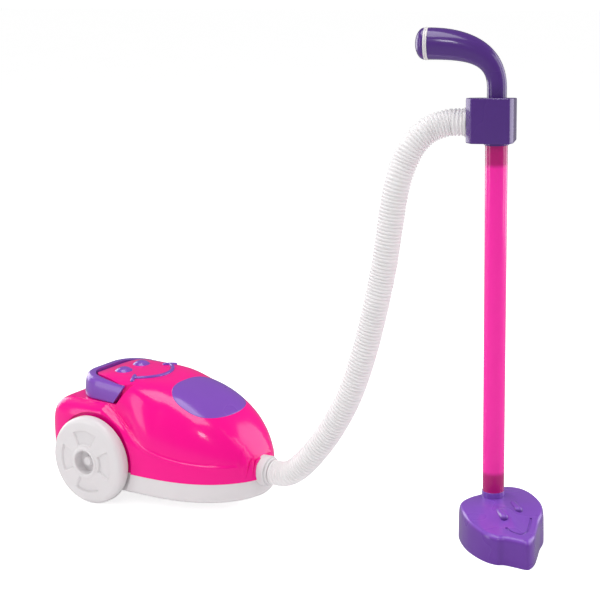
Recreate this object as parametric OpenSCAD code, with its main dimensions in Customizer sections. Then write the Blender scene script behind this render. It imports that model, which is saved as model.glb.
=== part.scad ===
// Toy vacuum cleaner: a canister on wheels, a ribbed hose, and a wand with a grip and a floor nozzle.
// Millimetres, +Z up, +X is the way the canister rolls. The origin is the middle of the footprint on the floor.

/* [Canister] */
// Width of the body at the seam between the shell and the tray
body_w = 144; // [140:1:148]
// Height of the seam between the shell and the tray
seam_z = 40; // [39:0.5:41]
// Height of the face panel
panel_z = 139; // [138:0.5:141]
// Height of the tray's underside
tray_z = 16; // [15.5:0.25:17]
// Wall of the shell and the tray
wall = 2.5; // [2:0.1:2.8]

/* [Rear wheels] */
// Diameter of a rear wheel
wheel_d = 100; // [98:0.5:102]
// Width of a rear wheel from its back to its face
wheel_w = 13.5; // [12:0.5:15]
// Diameter of the rear axle
axle_d = 5; // [4:0.5:6]
// Radial room of a turning fit
run_gap = 0.05; // [0.02:0.01:0.08]

/* [Carry handle] */
// Room between the face panel's block and the band around it
swing_gap = 1.6; // [1.2:0.1:2]
// Diameter of the hinge pins
hinge_d = 3.2; // [2.6:0.2:3.6]

/* [Caster] */
// Diameter of the caster wheel
caster_d = 15; // [13:0.5:15]
// Width of the caster wheel
caster_w = 9; // [7:0.5:10]

/* [Hose] */
// Diameter over the ribs
hose_d = 27.5; // [26:0.5:29]
// Diameter of the bore
hose_bore = 21; // [20:0.5:22]
// Distance from rib to rib
rib_pitch = 3.6; // [3.2:0.1:5]

/* [Wand] */
// Height of the grip's top above the floor
wand_h = 523; // [515:1:530]
// Diameter of the wand tube
tube_d = 22.5; // [22:0.5:23.5]
// Wall of the wand tube
tube_wall = 1.5; // [1:0.1:2]

/* [Nozzle] */
// Height of the nozzle at its lobes
nozzle_h = 36; // [34:0.5:38]
// Wall of the nozzle as a part of its plan
nozzle_inset = 0.07; // [0.05:0.01:0.09]

/* [Hidden] */
$fa = 6;
$fs = 0.6;
pink = [1, 0.05, 0.55];
purple = [0.5, 0.3, 0.74];
dark_purple = [0.33, 0.2, 0.49];
milk = [0.93, 0.92, 0.92];
steel = [0.7, 0.7, 0.72];
seat_gap = 0.3;
eps = 0.01;

// Where the canister's axle and the wand's foot stand in the common frame
canister_at = [-212.42, -14.23, 0];
wand_at = [210.68, 60.47, 0];
// The wand's grip points this way, and the nozzle's tip that way
grip_turn = 199;
nozzle_turn = -46.8;

// Body of the canister, about the middle of the rear axle
rear = 77;
widest_x = 60;
skirt_front = 184;
nose = 186;
shoulder_x = -45;
shoulder_z = panel_z - 28;
head_rear = -46;
head_half = body_w * 0.389;
dome_half_w = body_w * 0.49;
belly_z = 42;
skirt_e = 9;
swoosh_x = 8;
swoosh_run = 60;
swoosh_drop = 50;

// Rear axle and wheels
axle_z = wheel_d / 2;
well_in = body_w / 2 - 4;
well_r = wheel_d / 2 + 3;
rim_in = well_in + wall + 2;
rim_out = rim_in + wheel_w;
tread_out = rim_in + 5.5;
face_r = wheel_d / 2 - 7;
hub_r = 18.5;
hub_out = rim_out + 4;
hub_floor = rim_in + 6;
window_in = 20;
window_out = 35;
window_sink = 2.4;
bore_r = axle_d / 2 + run_gap;
cap_in = hub_floor + 0.4;
cap_out = cap_in + 5;
web_y = 52;
web_t = 6;

// Carry handle, hinged near the front ends of its arms
hinge_r = hinge_d / 2;
hinge_x = 25.5;
hinge_z = panel_z - 11.5;
pocket_z = shoulder_z + 0.5;
band_z = pocket_z + 0.5;
plug_half = head_half - 7.5;
plug_slope = 0.278;
plug_rho = 58.5;
plug_corner = 27;
end_slope = 0.8;
end_x = 16;
end_gap = 5.6;

// Face, window and port
eye_x = 2;
eye_y = 15.7;
eye_r = 10.4;
eye_seat = panel_z - 1.6;
eye_top = panel_z + 4;
eye_peg_r = 2;
smile_r = 37.2;
smile_x = 12.8;
smile_half_deg = 62.5;
smile_w = 4.5;
smile_floor = panel_z - 5.4;
smile_top = panel_z + 0.2;
smile_bar = 14;
window_x = 110.4;
window_a = 34.7;
window_b = 44.7;
window_e = 2.4;
window_deep = 1.4;
window_proud = 0.3;
port_z = 46;
port_r = 17;
port_back = 160;
port_front = 191;
flange_r = 21;
flange_x = 173;

// Screws
screw_at = [[-58, 38], [-58, -38], [128, 42], [128, -42]];
screw_r = 1.5;
screw_head_r = 3;
screw_seat = tray_z + 5;
screw_tip = seam_z + 12;
post_r = 4.5;

// Caster
caster_at = [130, 0, 0];
caster_trail = 7;
crown_r = 9;
crown_z = tray_z + 0.6;
crown_t = 2.6;
stem_r = 4;
boss_z = tray_z + 11;
leg_t = 2;
pin_r = 1.5;
leg_half = 3.2;
turn_room = norm([caster_trail + leg_half, caster_w / 2 + seat_gap + leg_t]) + 0.6;
boss_r = turn_room + 3;

// Wand
block_z = wand_h - 112;
block_top = wand_h - 67;
collar_t = 3;
collar_z = block_z - seat_gap - collar_t;
tube_r = tube_d / 2;
plug_r = tube_r - tube_wall;
air_r = 8;
neck_z = 44;
socket_z = 29;
spigot_r = 9;
spigot_top = block_z + 18;
block_side = 29;
block_back = 18.4;
block_half = 22.5;
block_flat = 14;
block_cut = 6.2;
block_back_cut = 3.2;
block_fall = 3.6;
hose_z = wand_h - 93;
cuff_flange_t = 3;
cuff_plug = 16;
bore_hose_r = hose_bore / 2;
cuff_r = bore_hose_r + 2.4;
cuff_flange_r = hose_d / 2 + 1;
grip_reach = 70;
grip_foot = 8;
grip_rise = 28;
grip_turn_x = 24;
grip_foot_r = 9.8;
grip_end_r = 15.8;
ring_w = 4;
cap_dome = 9.4;
peg_len = 8;

function clamp01(t) = max(0, min(1, t));
function ease(x, a, b) = let (t = clamp01((x - a) / (b - a))) t * t * (3 - 2 * t);
function falls(u, p, q) = pow(max(0, 1 - pow(clamp01(u), p)), 1 / q);

// Half width and top of the lower skirt, whose top line runs down to the nose as the swoosh
function skirt_half(x) = body_w / 2 * (x > widest_x
    ? falls((x - widest_x) / (skirt_front - widest_x), 2.6, 2)
    : falls((widest_x - x) / (widest_x + rear), 6, 6));
function swoosh(x) = shoulder_z - swoosh_drop * (1 - exp(-pow(max(0, x - swoosh_x) / swoosh_run, 1.3)));
function skirt_top(x) = x < shoulder_x
    ? seam_z + (shoulder_z - seam_z) * falls((shoulder_x - x) / (rear + shoulder_x), 2.6, 2.6)
    : swoosh(x);

// Half width, top and squareness of the upper dome, from the face panel to the nose
function dome_half(x) = (head_half + (dome_half_w - head_half) * ease(x, 10, 80))
    * falls((x - widest_x) / (nose - widest_x), 2.4, 2);
function dome_top(x) = belly_z + (panel_z - belly_z) * falls((x + 20) / (nose + 20), 3.2, 1.6)
    - (x < 0 ? 6 * pow(-x / 33, 2.5) : 0);
function dome_e(x) = 3.2 + 2.8 * (1 - ease(x, 20, 85));
function dome_z(x, y) = seam_z + (dome_top(x) - seam_z)
    * falls(abs(y) / max(0.1, dome_half(x)), dome_e(x), dome_e(x));

// Radius of a rounded box in the direction t, seen along X from the middle of the seam
function box_r(t, w, h, e) = (w < 0.05 || h < 0.05) ? 0
    : pow(pow(abs(cos(t)) / w, e) + pow(abs(sin(t)) / h, e), -1 / e);
function skirt_r(t, x, d) = box_r(t, skirt_half(x) - d, skirt_top(x) - seam_z - d, skirt_e);
function dome_r(t, x, d) = x < head_rear ? 0 : box_r(t, dome_half(x) - d, dome_top(x) - seam_z - d, dome_e(x));
function crease(x, d, lo = 2, hi = 88, n = 14) = n == 0 ? (lo + hi) / 2
    : let (m = (lo + hi) / 2) skirt_r(m, x, d) > dome_r(m, x, d)
        ? crease(x, d, m, hi, n - 1) : crease(x, d, lo, m, n - 1);
function crease_at(x, d) = x < head_rear ? 55 : max(10, min(76, crease(x, d)));

// One cross-section, from the left edge of the seam over the top to the right edge
function quarter(tc, n1, n2) = concat([for (i = [0:n1]) tc * i / (n1 + 1)],
    [for (i = [0:n2]) tc + (90 - tc) * i / (n2 + 1)]);
function angles(tc, n1, n2) = let (q = quarter(tc, n1, n2))
    concat(q, [90], [for (i = [len(q) - 1:-1:0]) 180 - q[i]]);
function section(x, at, d, n1, n2) = [for (t = angles(crease_at(x, d), n1, n2))
    let (r = max(skirt_r(t, x, d), dome_r(t, x, d))) [at, r * cos(t), seam_z + r * sin(t)]];
function with_foot(ring) = concat([ring[0] - [0, 0, 3]], ring, [ring[len(ring) - 1] - [0, 0, 3]]);

// Faces of a closed stack of rings with flat ends
function stack_faces(rows, count) = concat(
    [[for (j = [0:count - 1]) j]],
    [[for (j = [count - 1:-1:0]) (rows - 1) * count + j]],
    [for (i = [0:rows - 2], j = [0:count - 1], k = [0, 1])
        let (a = i * count + j, b = i * count + (j + 1) % count)
        k == 0 ? [a, a + count, b + count] : [a, b + count, b]]);
function flat_list(rings) = [for (ring = rings, p = ring) p];
module stack(rings) {
    polyhedron(flat_list(rings), stack_faces(len(rings), len(rings[0])), convexity = 8);
}

// Places along X where the shell and its cavity are cut into rings, close together at the two rounded ends
shell_stations = concat([for (d = [0.1, 1, 3, 7, 13, 20]) d - rear],
    [head_rear - 0.6, head_rear + 0.4, -30, -15, 0, 10, 20, 32, 45, 60, 75, 90, 105, 120, 134],
    [for (d = [40, 30, 22, 16, 11, 7, 4, 2, 0.6, 0.1]) nose - d]);
cavity_stations = concat([for (d = [1.5, 4, 9, 17]) d - rear],
    [head_rear - 0.6, head_rear + 2, -20, 0, 20, 45, 70, 95, 120, 140], [for (d = [30, 18, 10, 5]) nose - d]);

module shell_form() {
    stack([for (x = shell_stations) section(x, x, 0, 6, 8)]);
}

module shell_cavity() {
    mid = (nose - rear) / 2;
    long = (nose + rear) / 2;
    stack([for (x = cavity_stations)
        with_foot(section(x, mid + (x - mid) * (long - wall) / long, wall, 4, 6))]);
}

// The block under the face panel, turned about the hinge so that the band clears it all the way up
module plug_form(grow) {
    rho = plug_rho + grow;
    half = plug_half + grow;
    c = plug_corner;
    tilt = atan(plug_slope);
    mid = half - plug_slope * (rho - c + c * sin(tilt)) - c * cos(tilt);
    steps = 8;
    profile = concat([[0, half]], [for (i = [0:steps]) let (a = (90 - tilt) * (1 - i / steps))
        [rho - c + c * cos(a), mid + c * sin(a)]]);
    translate([hinge_x, 0, hinge_z]) rotate([90, 0, 0]) rotate_extrude()
        polygon(concat(profile, [for (i = [len(profile) - 1:-1:0]) [profile[i][0], -profile[i][1]]]));
}

// The step that the band lies in, with its sloping front wall
module band_pocket(grow) {
    foot = end_x + end_gap + grow;
    low = pocket_z - grow;
    high = panel_z + 20;
    difference() {
        rotate([90, 0, 0]) linear_extrude(200, center = true)
            polygon([[-rear - 5, low], [foot, low], [foot + end_slope * (high - low), high], [-rear - 5, high]]);
        plug_form(-grow);
    }
}

module across_y(r, from, to) {
    for (side = [-1, 1])
        translate([0, side * (from + to) / 2, 0]) rotate([90, 0, 0]) cylinder(r = r, h = to - from, center = true);
}

module wells(grow) {
    translate([0, 0, axle_z]) across_y(well_r + grow, well_in - grow, 110);
}

module along_x(r, from, to) {
    translate([from, 0, 0]) rotate([0, 90, 0]) cylinder(r = r, h = to - from);
}

module smile_form(w, low, high) {
    translate([smile_x, 0, low]) {
        rotate([0, 0, -smile_half_deg]) rotate_extrude(angle = 2 * smile_half_deg)
            translate([smile_r - w / 2, 0]) square([w, high - low]);
        for (side = [-1, 1]) rotate([0, 0, side * smile_half_deg]) {
            translate([smile_r - smile_bar / 2, -w / 2, 0]) cube([smile_bar, w, high - low]);
            for (e = [-1, 1]) translate([smile_r + e * smile_bar / 2, 0, 0]) cylinder(d = w, h = high - low);
        }
    }
}

// The oval inlay: rings of points on the dome, from the middle out
window_steps = [0.25, 0.5, 0.72, 0.9, 1];
window_count = 32;
function squared(v) = sign(v) * pow(abs(v), 2 / window_e);
function window_ring(s, grow, lift) = [for (j = [0:window_count - 1]) let (a = 360 * j / window_count,
    x = window_x + (window_a + grow) * s * squared(cos(a)), y = (window_b + grow) * s * squared(sin(a)))
    [x, y, dome_z(x, y) + lift]];
module window_form(grow, low, high) {
    n = window_count;
    m = len(window_steps);
    low_rings = [for (s = window_steps) window_ring(s, grow, low)];
    high_rings = [for (s = window_steps) window_ring(s, grow, high)];
    middle = [window_x, 0, dome_z(window_x, 0)];
    points = concat(flat_list(low_rings), flat_list(high_rings), [middle + [0, 0, low], middle + [0, 0, high]]);
    faces = concat(
        [for (i = [0:m - 2], j = [0:n - 1], k = [0, 1]) let (a = i * n + j, b = i * n + (j + 1) % n)
            k == 0 ? [a, a + n, b + n] : [a, b + n, b]],
        [for (i = [0:m - 2], j = [0:n - 1], k = [0, 1]) let (a = (m + i) * n + j, b = (m + i) * n + (j + 1) % n)
            k == 0 ? [a, b + n, a + n] : [a, b, b + n]],
        [for (j = [0:n - 1], k = [0, 1]) let (a = (m - 1) * n + j, b = (m - 1) * n + (j + 1) % n, up = m * n)
            k == 0 ? [a, a + up, b + up] : [a, b + up, b]],
        [for (j = [0:n - 1]) [2 * m * n, j, (j + 1) % n]],
        [for (j = [0:n - 1]) [2 * m * n + 1, m * n + (j + 1) % n, m * n + j]]);
    polyhedron(points, faces, convexity = 6);
}

module screw_posts(r, low, high) {
    for (p = screw_at) translate([p[0], p[1], low]) cylinder(r = r, h = high - low);
}

module hinge_pins(r, from, to) {
    translate([hinge_x, 0, hinge_z]) across_y(r, from, to);
}

module upper_shell() color(pink) translate(canister_at) difference() {
    shell_form();
    band_pocket(0);
    wells(0);
    translate([0, 0, port_z]) along_x(port_r, port_back - 2, nose + 10);
    for (side = [-1, 1]) translate([eye_x, side * eye_y, eye_seat]) {
        cylinder(r = eye_r, h = 10);
        translate([0, 0, -12]) cylinder(r = eye_peg_r, h = 13);
    }
    smile_form(smile_w, smile_floor, panel_z + 5);
    window_form(0.15, -window_deep - 0.05, 8);
    difference() {
        shell_cavity();
        band_pocket(wall);
        wells(wall);
        screw_posts(post_r, seam_z - 5, panel_z);
    }
    screw_posts(screw_r, seam_z - 1, screw_tip + 1);
    hinge_pins(hinge_r, plug_half - wall - 2, plug_half + 8);
    for (side = [-1, 1]) translate([0, side * (well_in - wall / 2), seam_z - 1]) {
        translate([-axle_d / 2 - 0.5, -wall, 0]) cube([axle_d + 1, 2 * wall, axle_z - seam_z + 1]);
        translate([0, 0, axle_z - seam_z + 1]) rotate([90, 0, 0])
            cylinder(r = axle_d / 2 + 0.5, h = 2 * wall, center = true);
    }
}

// Plan of the tray at the inset d, from the nose round the left side to the rear and back
plan_steps = [for (i = [0:16]) -rear + 0.4 + (skirt_front + rear - 0.8) * (1 - cos(180 * i / 16)) / 2];
function plan_side(d) = [for (x = plan_steps)
    [widest_x + (x - widest_x) * (1 - d / 100), max(1, skirt_half(x) - d)]];
function plan(d, z) = let (s = plan_side(d), n = len(s)) concat(
    [for (i = [0:n - 1]) [s[i][0], -s[i][1], z]], [for (i = [n - 1:-1:0]) [s[i][0], s[i][1], z]]);

module base_tray() color(milk) translate(canister_at) difference() {
    union() {
        difference() {
            stack([plan(6, tray_z), plan(2.6, tray_z + 1.2), plan(0.8, tray_z + 4), plan(0, tray_z + 8),
                plan(0, seam_z)]);
            difference() {
                stack([plan(wall + 3, tray_z + 3), plan(wall + 0.6, tray_z + 7), plan(wall, tray_z + 12),
                    plan(wall, seam_z + 1)]);
                wells(wall);
                screw_posts(post_r + 0.5, tray_z, seam_z);
                translate(caster_at + [0, 0, tray_z]) cylinder(r = boss_r, h = boss_z - tray_z);
            }
            wells(0);
        }
        for (side = [-1, 1]) translate([-8, side * web_y - web_t / 2, tray_z + 2])
            cube([16, web_t, axle_z + 8 - tray_z - 2]);
    }
    translate([0, 0, axle_z]) across_y(axle_d / 2, 0, 60);
    translate([0, 0, port_z]) along_x(port_r, port_back - 2, nose + 10);
    translate([0, 0, port_z]) along_x(flange_r + 0.3, flange_x - 3.3, flange_x + 0.3);
    screw_posts(screw_r, tray_z - 1, seam_z + 1);
    screw_posts(screw_head_r + 0.3, tray_z - 1, screw_seat);
    translate(caster_at) {
        translate([0, 0, tray_z - 1]) cylinder(r = turn_room, h = crown_z + crown_t + seat_gap - tray_z + 1);
        translate([0, 0, tray_z]) cylinder(r = stem_r + run_gap, h = boss_z);
    }
}

module hose_port() color(milk) translate(canister_at + [0, 0, port_z]) difference() {
    union() {
        along_x(port_r, port_back, port_front);
        along_x(flange_r, flange_x - 3, flange_x);
    }
    along_x(cuff_r, port_back - 1, port_front + 1);
}

module nose_window() color(purple) translate(canister_at) window_form(0, -window_deep, window_proud);

module eye(side) color(purple) translate(canister_at + [eye_x, side * eye_y, 0]) {
    rise = eye_top - eye_seat - 1;
    dome = (eye_r * eye_r + rise * rise) / (2 * rise);
    translate([0, 0, eye_seat]) cylinder(r = eye_r, h = 1);
    intersection() {
        translate([0, 0, eye_top - dome]) sphere(r = dome);
        translate([0, 0, eye_seat + 1]) cylinder(r = eye_r, h = 10);
    }
    translate([0, 0, eye_seat - 6]) cylinder(r = eye_peg_r, h = 6);
}
module eye_right() eye(-1);
module eye_left() eye(1);

module smile() color(purple) translate(canister_at) {
    smile_form(smile_w, smile_floor, smile_top - 1);
    smile_form(smile_w - 1.6, smile_floor, smile_top);
}

// The band's outline at one height: rear corners rounded, front ends straight
function band_top(x) = panel_z - 1.9 - 0.062 * (x + 42);
function band_ring(front, rear_x, half, corner, f) = let (
    flat = concat([[front, -half - 2.5], [front, half + 2.5]],
        [for (a = [90:15:180]) [rear_x + corner + corner * cos(a), half - corner + corner * sin(a)]],
        [for (a = [180:15:270]) [rear_x + corner + corner * cos(a), -half + corner + corner * sin(a)]]))
    [for (p = flat) [p[0], p[1], band_z + f * (band_top(p[0]) - band_z)]];
module carry_handle() color(purple) translate(canister_at) difference() {
    stack([band_ring(end_x, head_rear + 1, head_half - 5, 36, 0),
        band_ring(end_x + 1.4, head_rear, head_half - 4, 37, 0.07),
        band_ring(end_x + 8.4, head_rear + 0.8, head_half - 4.4, 37, 0.5),
        band_ring(end_x + 13, head_rear + 2.2, head_half - 5.4, 36, 0.8),
        band_ring(end_x + 14.6, head_rear + 4, head_half - 6.8, 35, 0.94),
        band_ring(end_x + 14.4, head_rear + 6.4, head_half - 8.8, 33, 1)]);
    plug_form(swing_gap);
    hinge_pins(hinge_r + run_gap, plug_half - 5, plug_half + 3.6);
}
module handle_pin(side) color(steel) translate(canister_at + [hinge_x, side * (plug_half - 0.4), hinge_z])
    rotate([90, 0, 0]) cylinder(r = hinge_r, h = 7.4, center = true);
module handle_pin_right() handle_pin(-1);
module handle_pin_left() handle_pin(1);

module rear_axle() color(steel) translate(canister_at + [0, 0, axle_z])
    rotate([90, 0, 0]) cylinder(d = axle_d, h = 2 * (cap_out - 2), center = true);

// A rear wheel: rounded shoulder, slightly domed face with four shallow windows, hub ring and hub hole
module wheel(side) color(milk) translate(canister_at + [0, 0, axle_z]) rotate([side * -90, 0, 0]) {
    r = wheel_d / 2;
    difference() {
        rotate_extrude() polygon(concat([[bore_r, rim_in], [11, rim_in], [11, rim_in + 3], [r - 4, rim_in + 3],
            [r - 4, rim_in], [r - 1, rim_in], [r, rim_in + 1]],
            [for (a = [0:15:90]) [face_r + (r - face_r) * cos(a), tread_out + (rim_out - tread_out) * sin(a)]],
            [[hub_r, rim_out + 2.2], [hub_r - 1.5, hub_out - 1], [hub_r - 2.3, hub_out], [hub_r - 4.3, hub_out],
            [hub_r - 5.1, hub_out - 1], [hub_r - 5.5, hub_floor], [bore_r, hub_floor]]));
        for (k = [0:3]) rotate([0, 0, 90 * k + 62]) rotate_extrude(angle = 56)
            polygon([[window_in, rim_out + 2 - window_sink], [window_out, rim_out + 0.7 - window_sink],
                [window_out, hub_out + 2], [window_in, hub_out + 2]]);
    }
}
module rear_wheel_right() wheel(-1);
module rear_wheel_left() wheel(1);

module axle_cap(side) color(milk) translate(canister_at + [0, 0, axle_z]) rotate([side * -90, 0, 0]) difference() {
    union() {
        translate([0, 0, cap_in]) cylinder(r = 6, h = 3.4);
        translate([0, 0, cap_in + 3.4]) cylinder(r1 = 6, r2 = 4.4, h = cap_out - cap_in - 3.4);
    }
    translate([0, 0, cap_in - 1]) cylinder(d = axle_d, h = cap_out - 2 - cap_in + 1);
}
module axle_cap_right() axle_cap(-1);
module axle_cap_left() axle_cap(1);

module base_screws() color(steel) translate(canister_at) for (p = screw_at) translate([p[0], p[1], 0]) difference() {
    union() {
        translate([0, 0, screw_seat - 2.4]) cylinder(r = screw_head_r, h = 2.4);
        translate([0, 0, screw_seat - eps]) cylinder(r = screw_r, h = screw_tip - screw_seat + eps);
    }
    for (a = [0, 90]) translate([0, 0, screw_seat - 2.4]) rotate([0, 0, a]) cube([3.6, 0.8, 2.4], center = true);
}

module caster_fork() color(milk) translate(canister_at + caster_at) difference() {
    leg_in = caster_w / 2 + seat_gap;
    union() {
        translate([0, 0, crown_z]) cylinder(r = crown_r, h = crown_t);
        translate([0, 0, crown_z]) cylinder(r = stem_r, h = boss_z + 4 - crown_z);
        for (side = [-1, 1]) translate([-caster_trail, side * (leg_in + leg_t / 2), 0]) {
            translate([0, 0, caster_d / 2]) rotate([90, 0, 0]) cylinder(r = leg_half, h = leg_t, center = true);
            translate([-leg_half, -leg_t / 2, caster_d / 2]) cube([9, leg_t, crown_z + 1 - caster_d / 2]);
        }
    }
    translate([-caster_trail, 0, caster_d / 2]) rotate([90, 0, 0]) cylinder(r = pin_r, h = 40, center = true);
}
module caster_wheel() color(milk) translate(canister_at + caster_at + [-caster_trail, 0, caster_d / 2])
    rotate([90, 0, 0]) rotate_extrude() polygon([[pin_r + run_gap, -caster_w / 2], [caster_d / 2 - 1, -caster_w / 2],
        [caster_d / 2, 1 - caster_w / 2], [caster_d / 2, caster_w / 2 - 1], [caster_d / 2 - 1, caster_w / 2],
        [pin_r + run_gap, caster_w / 2]]);
module caster_pin() color(steel) translate(canister_at + caster_at + [-caster_trail, 0, caster_d / 2])
    rotate([90, 0, 0]) cylinder(r = pin_r, h = caster_w + 2 * seat_gap + 2 * leg_t, center = true);
module caster_clip() color(steel) translate(canister_at + caster_at + [0, 0, boss_z + seat_gap]) difference() {
    cylinder(r = 7, h = 1.6);
    translate([0, 0, -1]) cylinder(r = stem_r, h = 4);
}

// Hose: a closed ribbed tube with its bore, swept along a smooth route between the two cuffs
hose_start = canister_at + [port_front + cuff_flange_t, 0, port_z];
grip_way = [cos(grip_turn), sin(grip_turn), 0];
hose_end = wand_at + (block_side + cuff_flange_t) * grip_way + [0, 0, hose_z];
hose_route = concat([hose_start, hose_start + [10, 0, 0]],
    [for (p = [[214, 0, 48], [224, 1, 54], [236, 2, 65], [248, 3, 79], [260, 5, 95], [273, 7, 116], [285, 9, 139],
        [294, 11, 162], [301, 13, 184], [307, 15, 206], [312, 17, 228], [317, 18, 249], [321, 20, 270],
        [325, 21, 291], [328, 22, 312], [331, 23, 332], [334, 24, 353], [338, 26, 373], [342.6, 31, 391],
        [348.5, 36, 406], [356, 43, 417.5], [364, 50, 424.5]]) canister_at + p],
    [hose_end + 16 * grip_way - [0, 0, 0.6], hose_end + 8 * grip_way, hose_end]);
function curve(a, b, c, d, t) = (2 * b + (c - a) * t + (2 * a - 5 * b + 4 * c - d) * t * t
    + (3 * b - a - 3 * c + d) * t * t * t) / 2;
function pick(list, i) = list[max(0, min(len(list) - 1, i))];
fine = 8;
hose_fine = concat([for (i = [0:len(hose_route) - 2], k = [0:fine - 1])
    curve(pick(hose_route, i - 1), hose_route[i], hose_route[i + 1], pick(hose_route, i + 2), k / fine)],
    [hose_end]);
fine_n = len(hose_fine);
hose_run = [for (i = 0, l = 0; i < fine_n;
    l = l + (i < fine_n - 1 ? norm(hose_fine[i + 1] - hose_fine[i]) : 0), i = i + 1) l];
hose_len = hose_run[fine_n - 1];
hose_table = [for (i = [0:fine_n - 1]) [hose_run[i], i]];
function hose_at(s) = let (f = lookup(s, hose_table), i = min(fine_n - 2, floor(f)))
    hose_fine[i] + (f - i) * (hose_fine[i + 1] - hose_fine[i]);
function unit(v) = v / norm(v);
function hose_way(s) = s < 2 ? [1, 0, 0] : s > hose_len - 2 ? -grip_way : unit(hose_at(s + 1.5) - hose_at(s - 1.5));
sheet_side = [-sin(17), cos(17), 0];
hose_sides = 8;
function hose_ring(s, r) = let (w = hose_way(s), a = unit(sheet_side - (sheet_side * w) * w), b = cross(w, a))
    [for (j = [0:hose_sides - 1]) let (t = 360 * j / hose_sides) hose_at(s) + r * (cos(t) * a + sin(t) * b)];
ribs = floor(hose_len / rib_pitch);
pitch = hose_len / ribs;
outer_rings = concat([hose_ring(0, hose_d / 2 - 1.7)],
    [for (i = [0:ribs - 1], k = [0, 1]) hose_ring((i + (k == 0 ? 0.35 : 0.85)) * pitch,
        hose_d / 2 - (k == 0 ? 0 : 1.7))], [hose_ring(hose_len, hose_d / 2 - 1.7)]);
inner_n = 60;
inner_rings = [for (i = [0:inner_n]) hose_ring(hose_len * i / inner_n, bore_hose_r)];
module hose() color(milk) {
    n = hose_sides;
    no = len(outer_rings);
    ni = len(inner_rings);
    base = no * n;
    faces = concat(
        [for (i = [0:no - 2], j = [0:n - 1], k = [0, 1]) let (a = i * n + j, b = i * n + (j + 1) % n)
            k == 0 ? [a, a + n, b + n] : [a, b + n, b]],
        [for (i = [0:ni - 2], j = [0:n - 1], k = [0, 1]) let (a = base + i * n + j, b = base + i * n + (j + 1) % n)
            k == 0 ? [a, b + n, a + n] : [a, b, b + n]],
        [for (j = [0:n - 1], k = [0, 1]) let (a = j, b = (j + 1) % n)
            k == 0 ? [a, b, base + b] : [a, base + b, base + a]],
        [for (j = [0:n - 1], k = [0, 1]) let (a = (no - 1) * n + j, b = (no - 1) * n + (j + 1) % n,
            c = base + (ni - 1) * n + j, d = base + (ni - 1) * n + (j + 1) % n)
            k == 0 ? [a, d, b] : [a, c, d]]);
    polyhedron(concat(flat_list(outer_rings), flat_list(inner_rings)), faces, convexity = 10);
}

module cuff(plug) {
    difference() {
        union() {
            translate([0, 0, -plug]) cylinder(r = cuff_r, h = plug + 1);
            cylinder(r = cuff_flange_r, h = cuff_flange_t);
        }
        translate([0, 0, -plug - 1]) cylinder(r = bore_hose_r, h = plug + cuff_flange_t + 2);
    }
}
module hose_cuff_lower() color(milk) translate(canister_at + [port_front, 0, port_z])
    rotate([0, 90, 0]) cuff(cuff_plug);
module hose_cuff_upper() color(milk) translate(wand_at + [0, 0, hose_z]) rotate([0, 0, grip_turn])
    translate([block_side, 0, 0]) rotate([0, 90, 0]) cuff(cuff_plug);

// Wand, about its own upright axis, with the grip along its X
module on_wand() translate(wand_at) rotate([0, 0, grip_turn]) children();

// Plan of the block at the inset d; the top falls by a little away from the front
function block_ring(d, z, fall = 0) = let (a = block_side - d, b = block_back - d, h = block_half - d,
    front = block_side - block_cut - d / 2, back = block_back_cut + d / 2 - block_back) [for (p = [
        [-b, -block_flat], [back, -h], [front, -h], [a, -block_flat],
        [a, block_flat], [front, h], [back, h], [-b, block_flat]])
    [p[0], p[1], z - fall * (block_half - p[1]) / (2 * block_half)]];
module handle_block() color(dark_purple) on_wand() difference() {
    stack([block_ring(1.2, block_z), block_ring(0, block_z + 1.2), block_ring(0, block_top - 1.4, block_fall),
        block_ring(1.4, block_top, block_fall)]);
    translate([0, 0, block_z - 1]) cylinder(r = spigot_r + run_gap, h = spigot_top - block_z + 1 + seat_gap);
    translate([0, 0, block_z + 5]) cylinder(r = air_r, h = hose_z - block_z);
    translate([0, 0, hose_z]) along_x(bore_hose_r, 0, block_side + 1);
    translate([0, 0, hose_z]) along_x(cuff_r, block_side - cuff_plug, block_side + 1);
    translate([0, 0, block_top - peg_len]) cylinder(r = 6, h = peg_len + 1);
}

// Grip: an upright foot that bends over to the hose side and widens to its end
function bezier(p, t) = pow(1 - t, 3) * p[0] + 3 * t * pow(1 - t, 2) * p[1] + 3 * t * t * (1 - t) * p[2]
    + pow(t, 3) * p[3];
function bezier_way(p, t) = unit((1 - t) * (1 - t) * (p[1] - p[0]) + 2 * t * (1 - t) * (p[2] - p[1])
    + t * t * (p[3] - p[2]));
grip_axis_z = wand_h - grip_end_r + 0.5;
grip_bend = [[0, block_top + grip_foot], [0, wand_h - grip_rise], [grip_turn_x, grip_axis_z],
    [grip_reach - 2, grip_axis_z]];
function grip_size(t) = grip_foot_r + (grip_end_r - grip_foot_r) * ease(t, 0.1, 1);
function grip_ring_at(p, w, r) = [for (j = [0:19]) let (a = 18 * j)
    [p[0] + r * cos(a) * w[1], r * sin(a), p[1] - r * cos(a) * w[0]]];
module grip() color(dark_purple) on_wand() {
    difference() {
        stack(concat([for (z = [block_top - block_fall, block_top + 2]) grip_ring_at([0, z], [0, 1], grip_foot_r)],
            [for (i = [0:12]) let (t = i / 12)
                grip_ring_at(bezier(grip_bend, t), bezier_way(grip_bend, t), grip_size(t))]));
        translate([0, 0, grip_axis_z]) along_x(5, grip_reach - 2 - peg_len, grip_reach);
    }
    translate([0, 0, block_top - peg_len]) cylinder(r = 6, h = peg_len + 1);
}
module grip_ring() color(milk) on_wand() translate([0, 0, grip_axis_z]) difference() {
    along_x(grip_end_r + 0.4, grip_reach - 2, grip_reach - 2 + ring_w);
    along_x(5, grip_reach - 3, grip_reach + ring_w);
}
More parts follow.
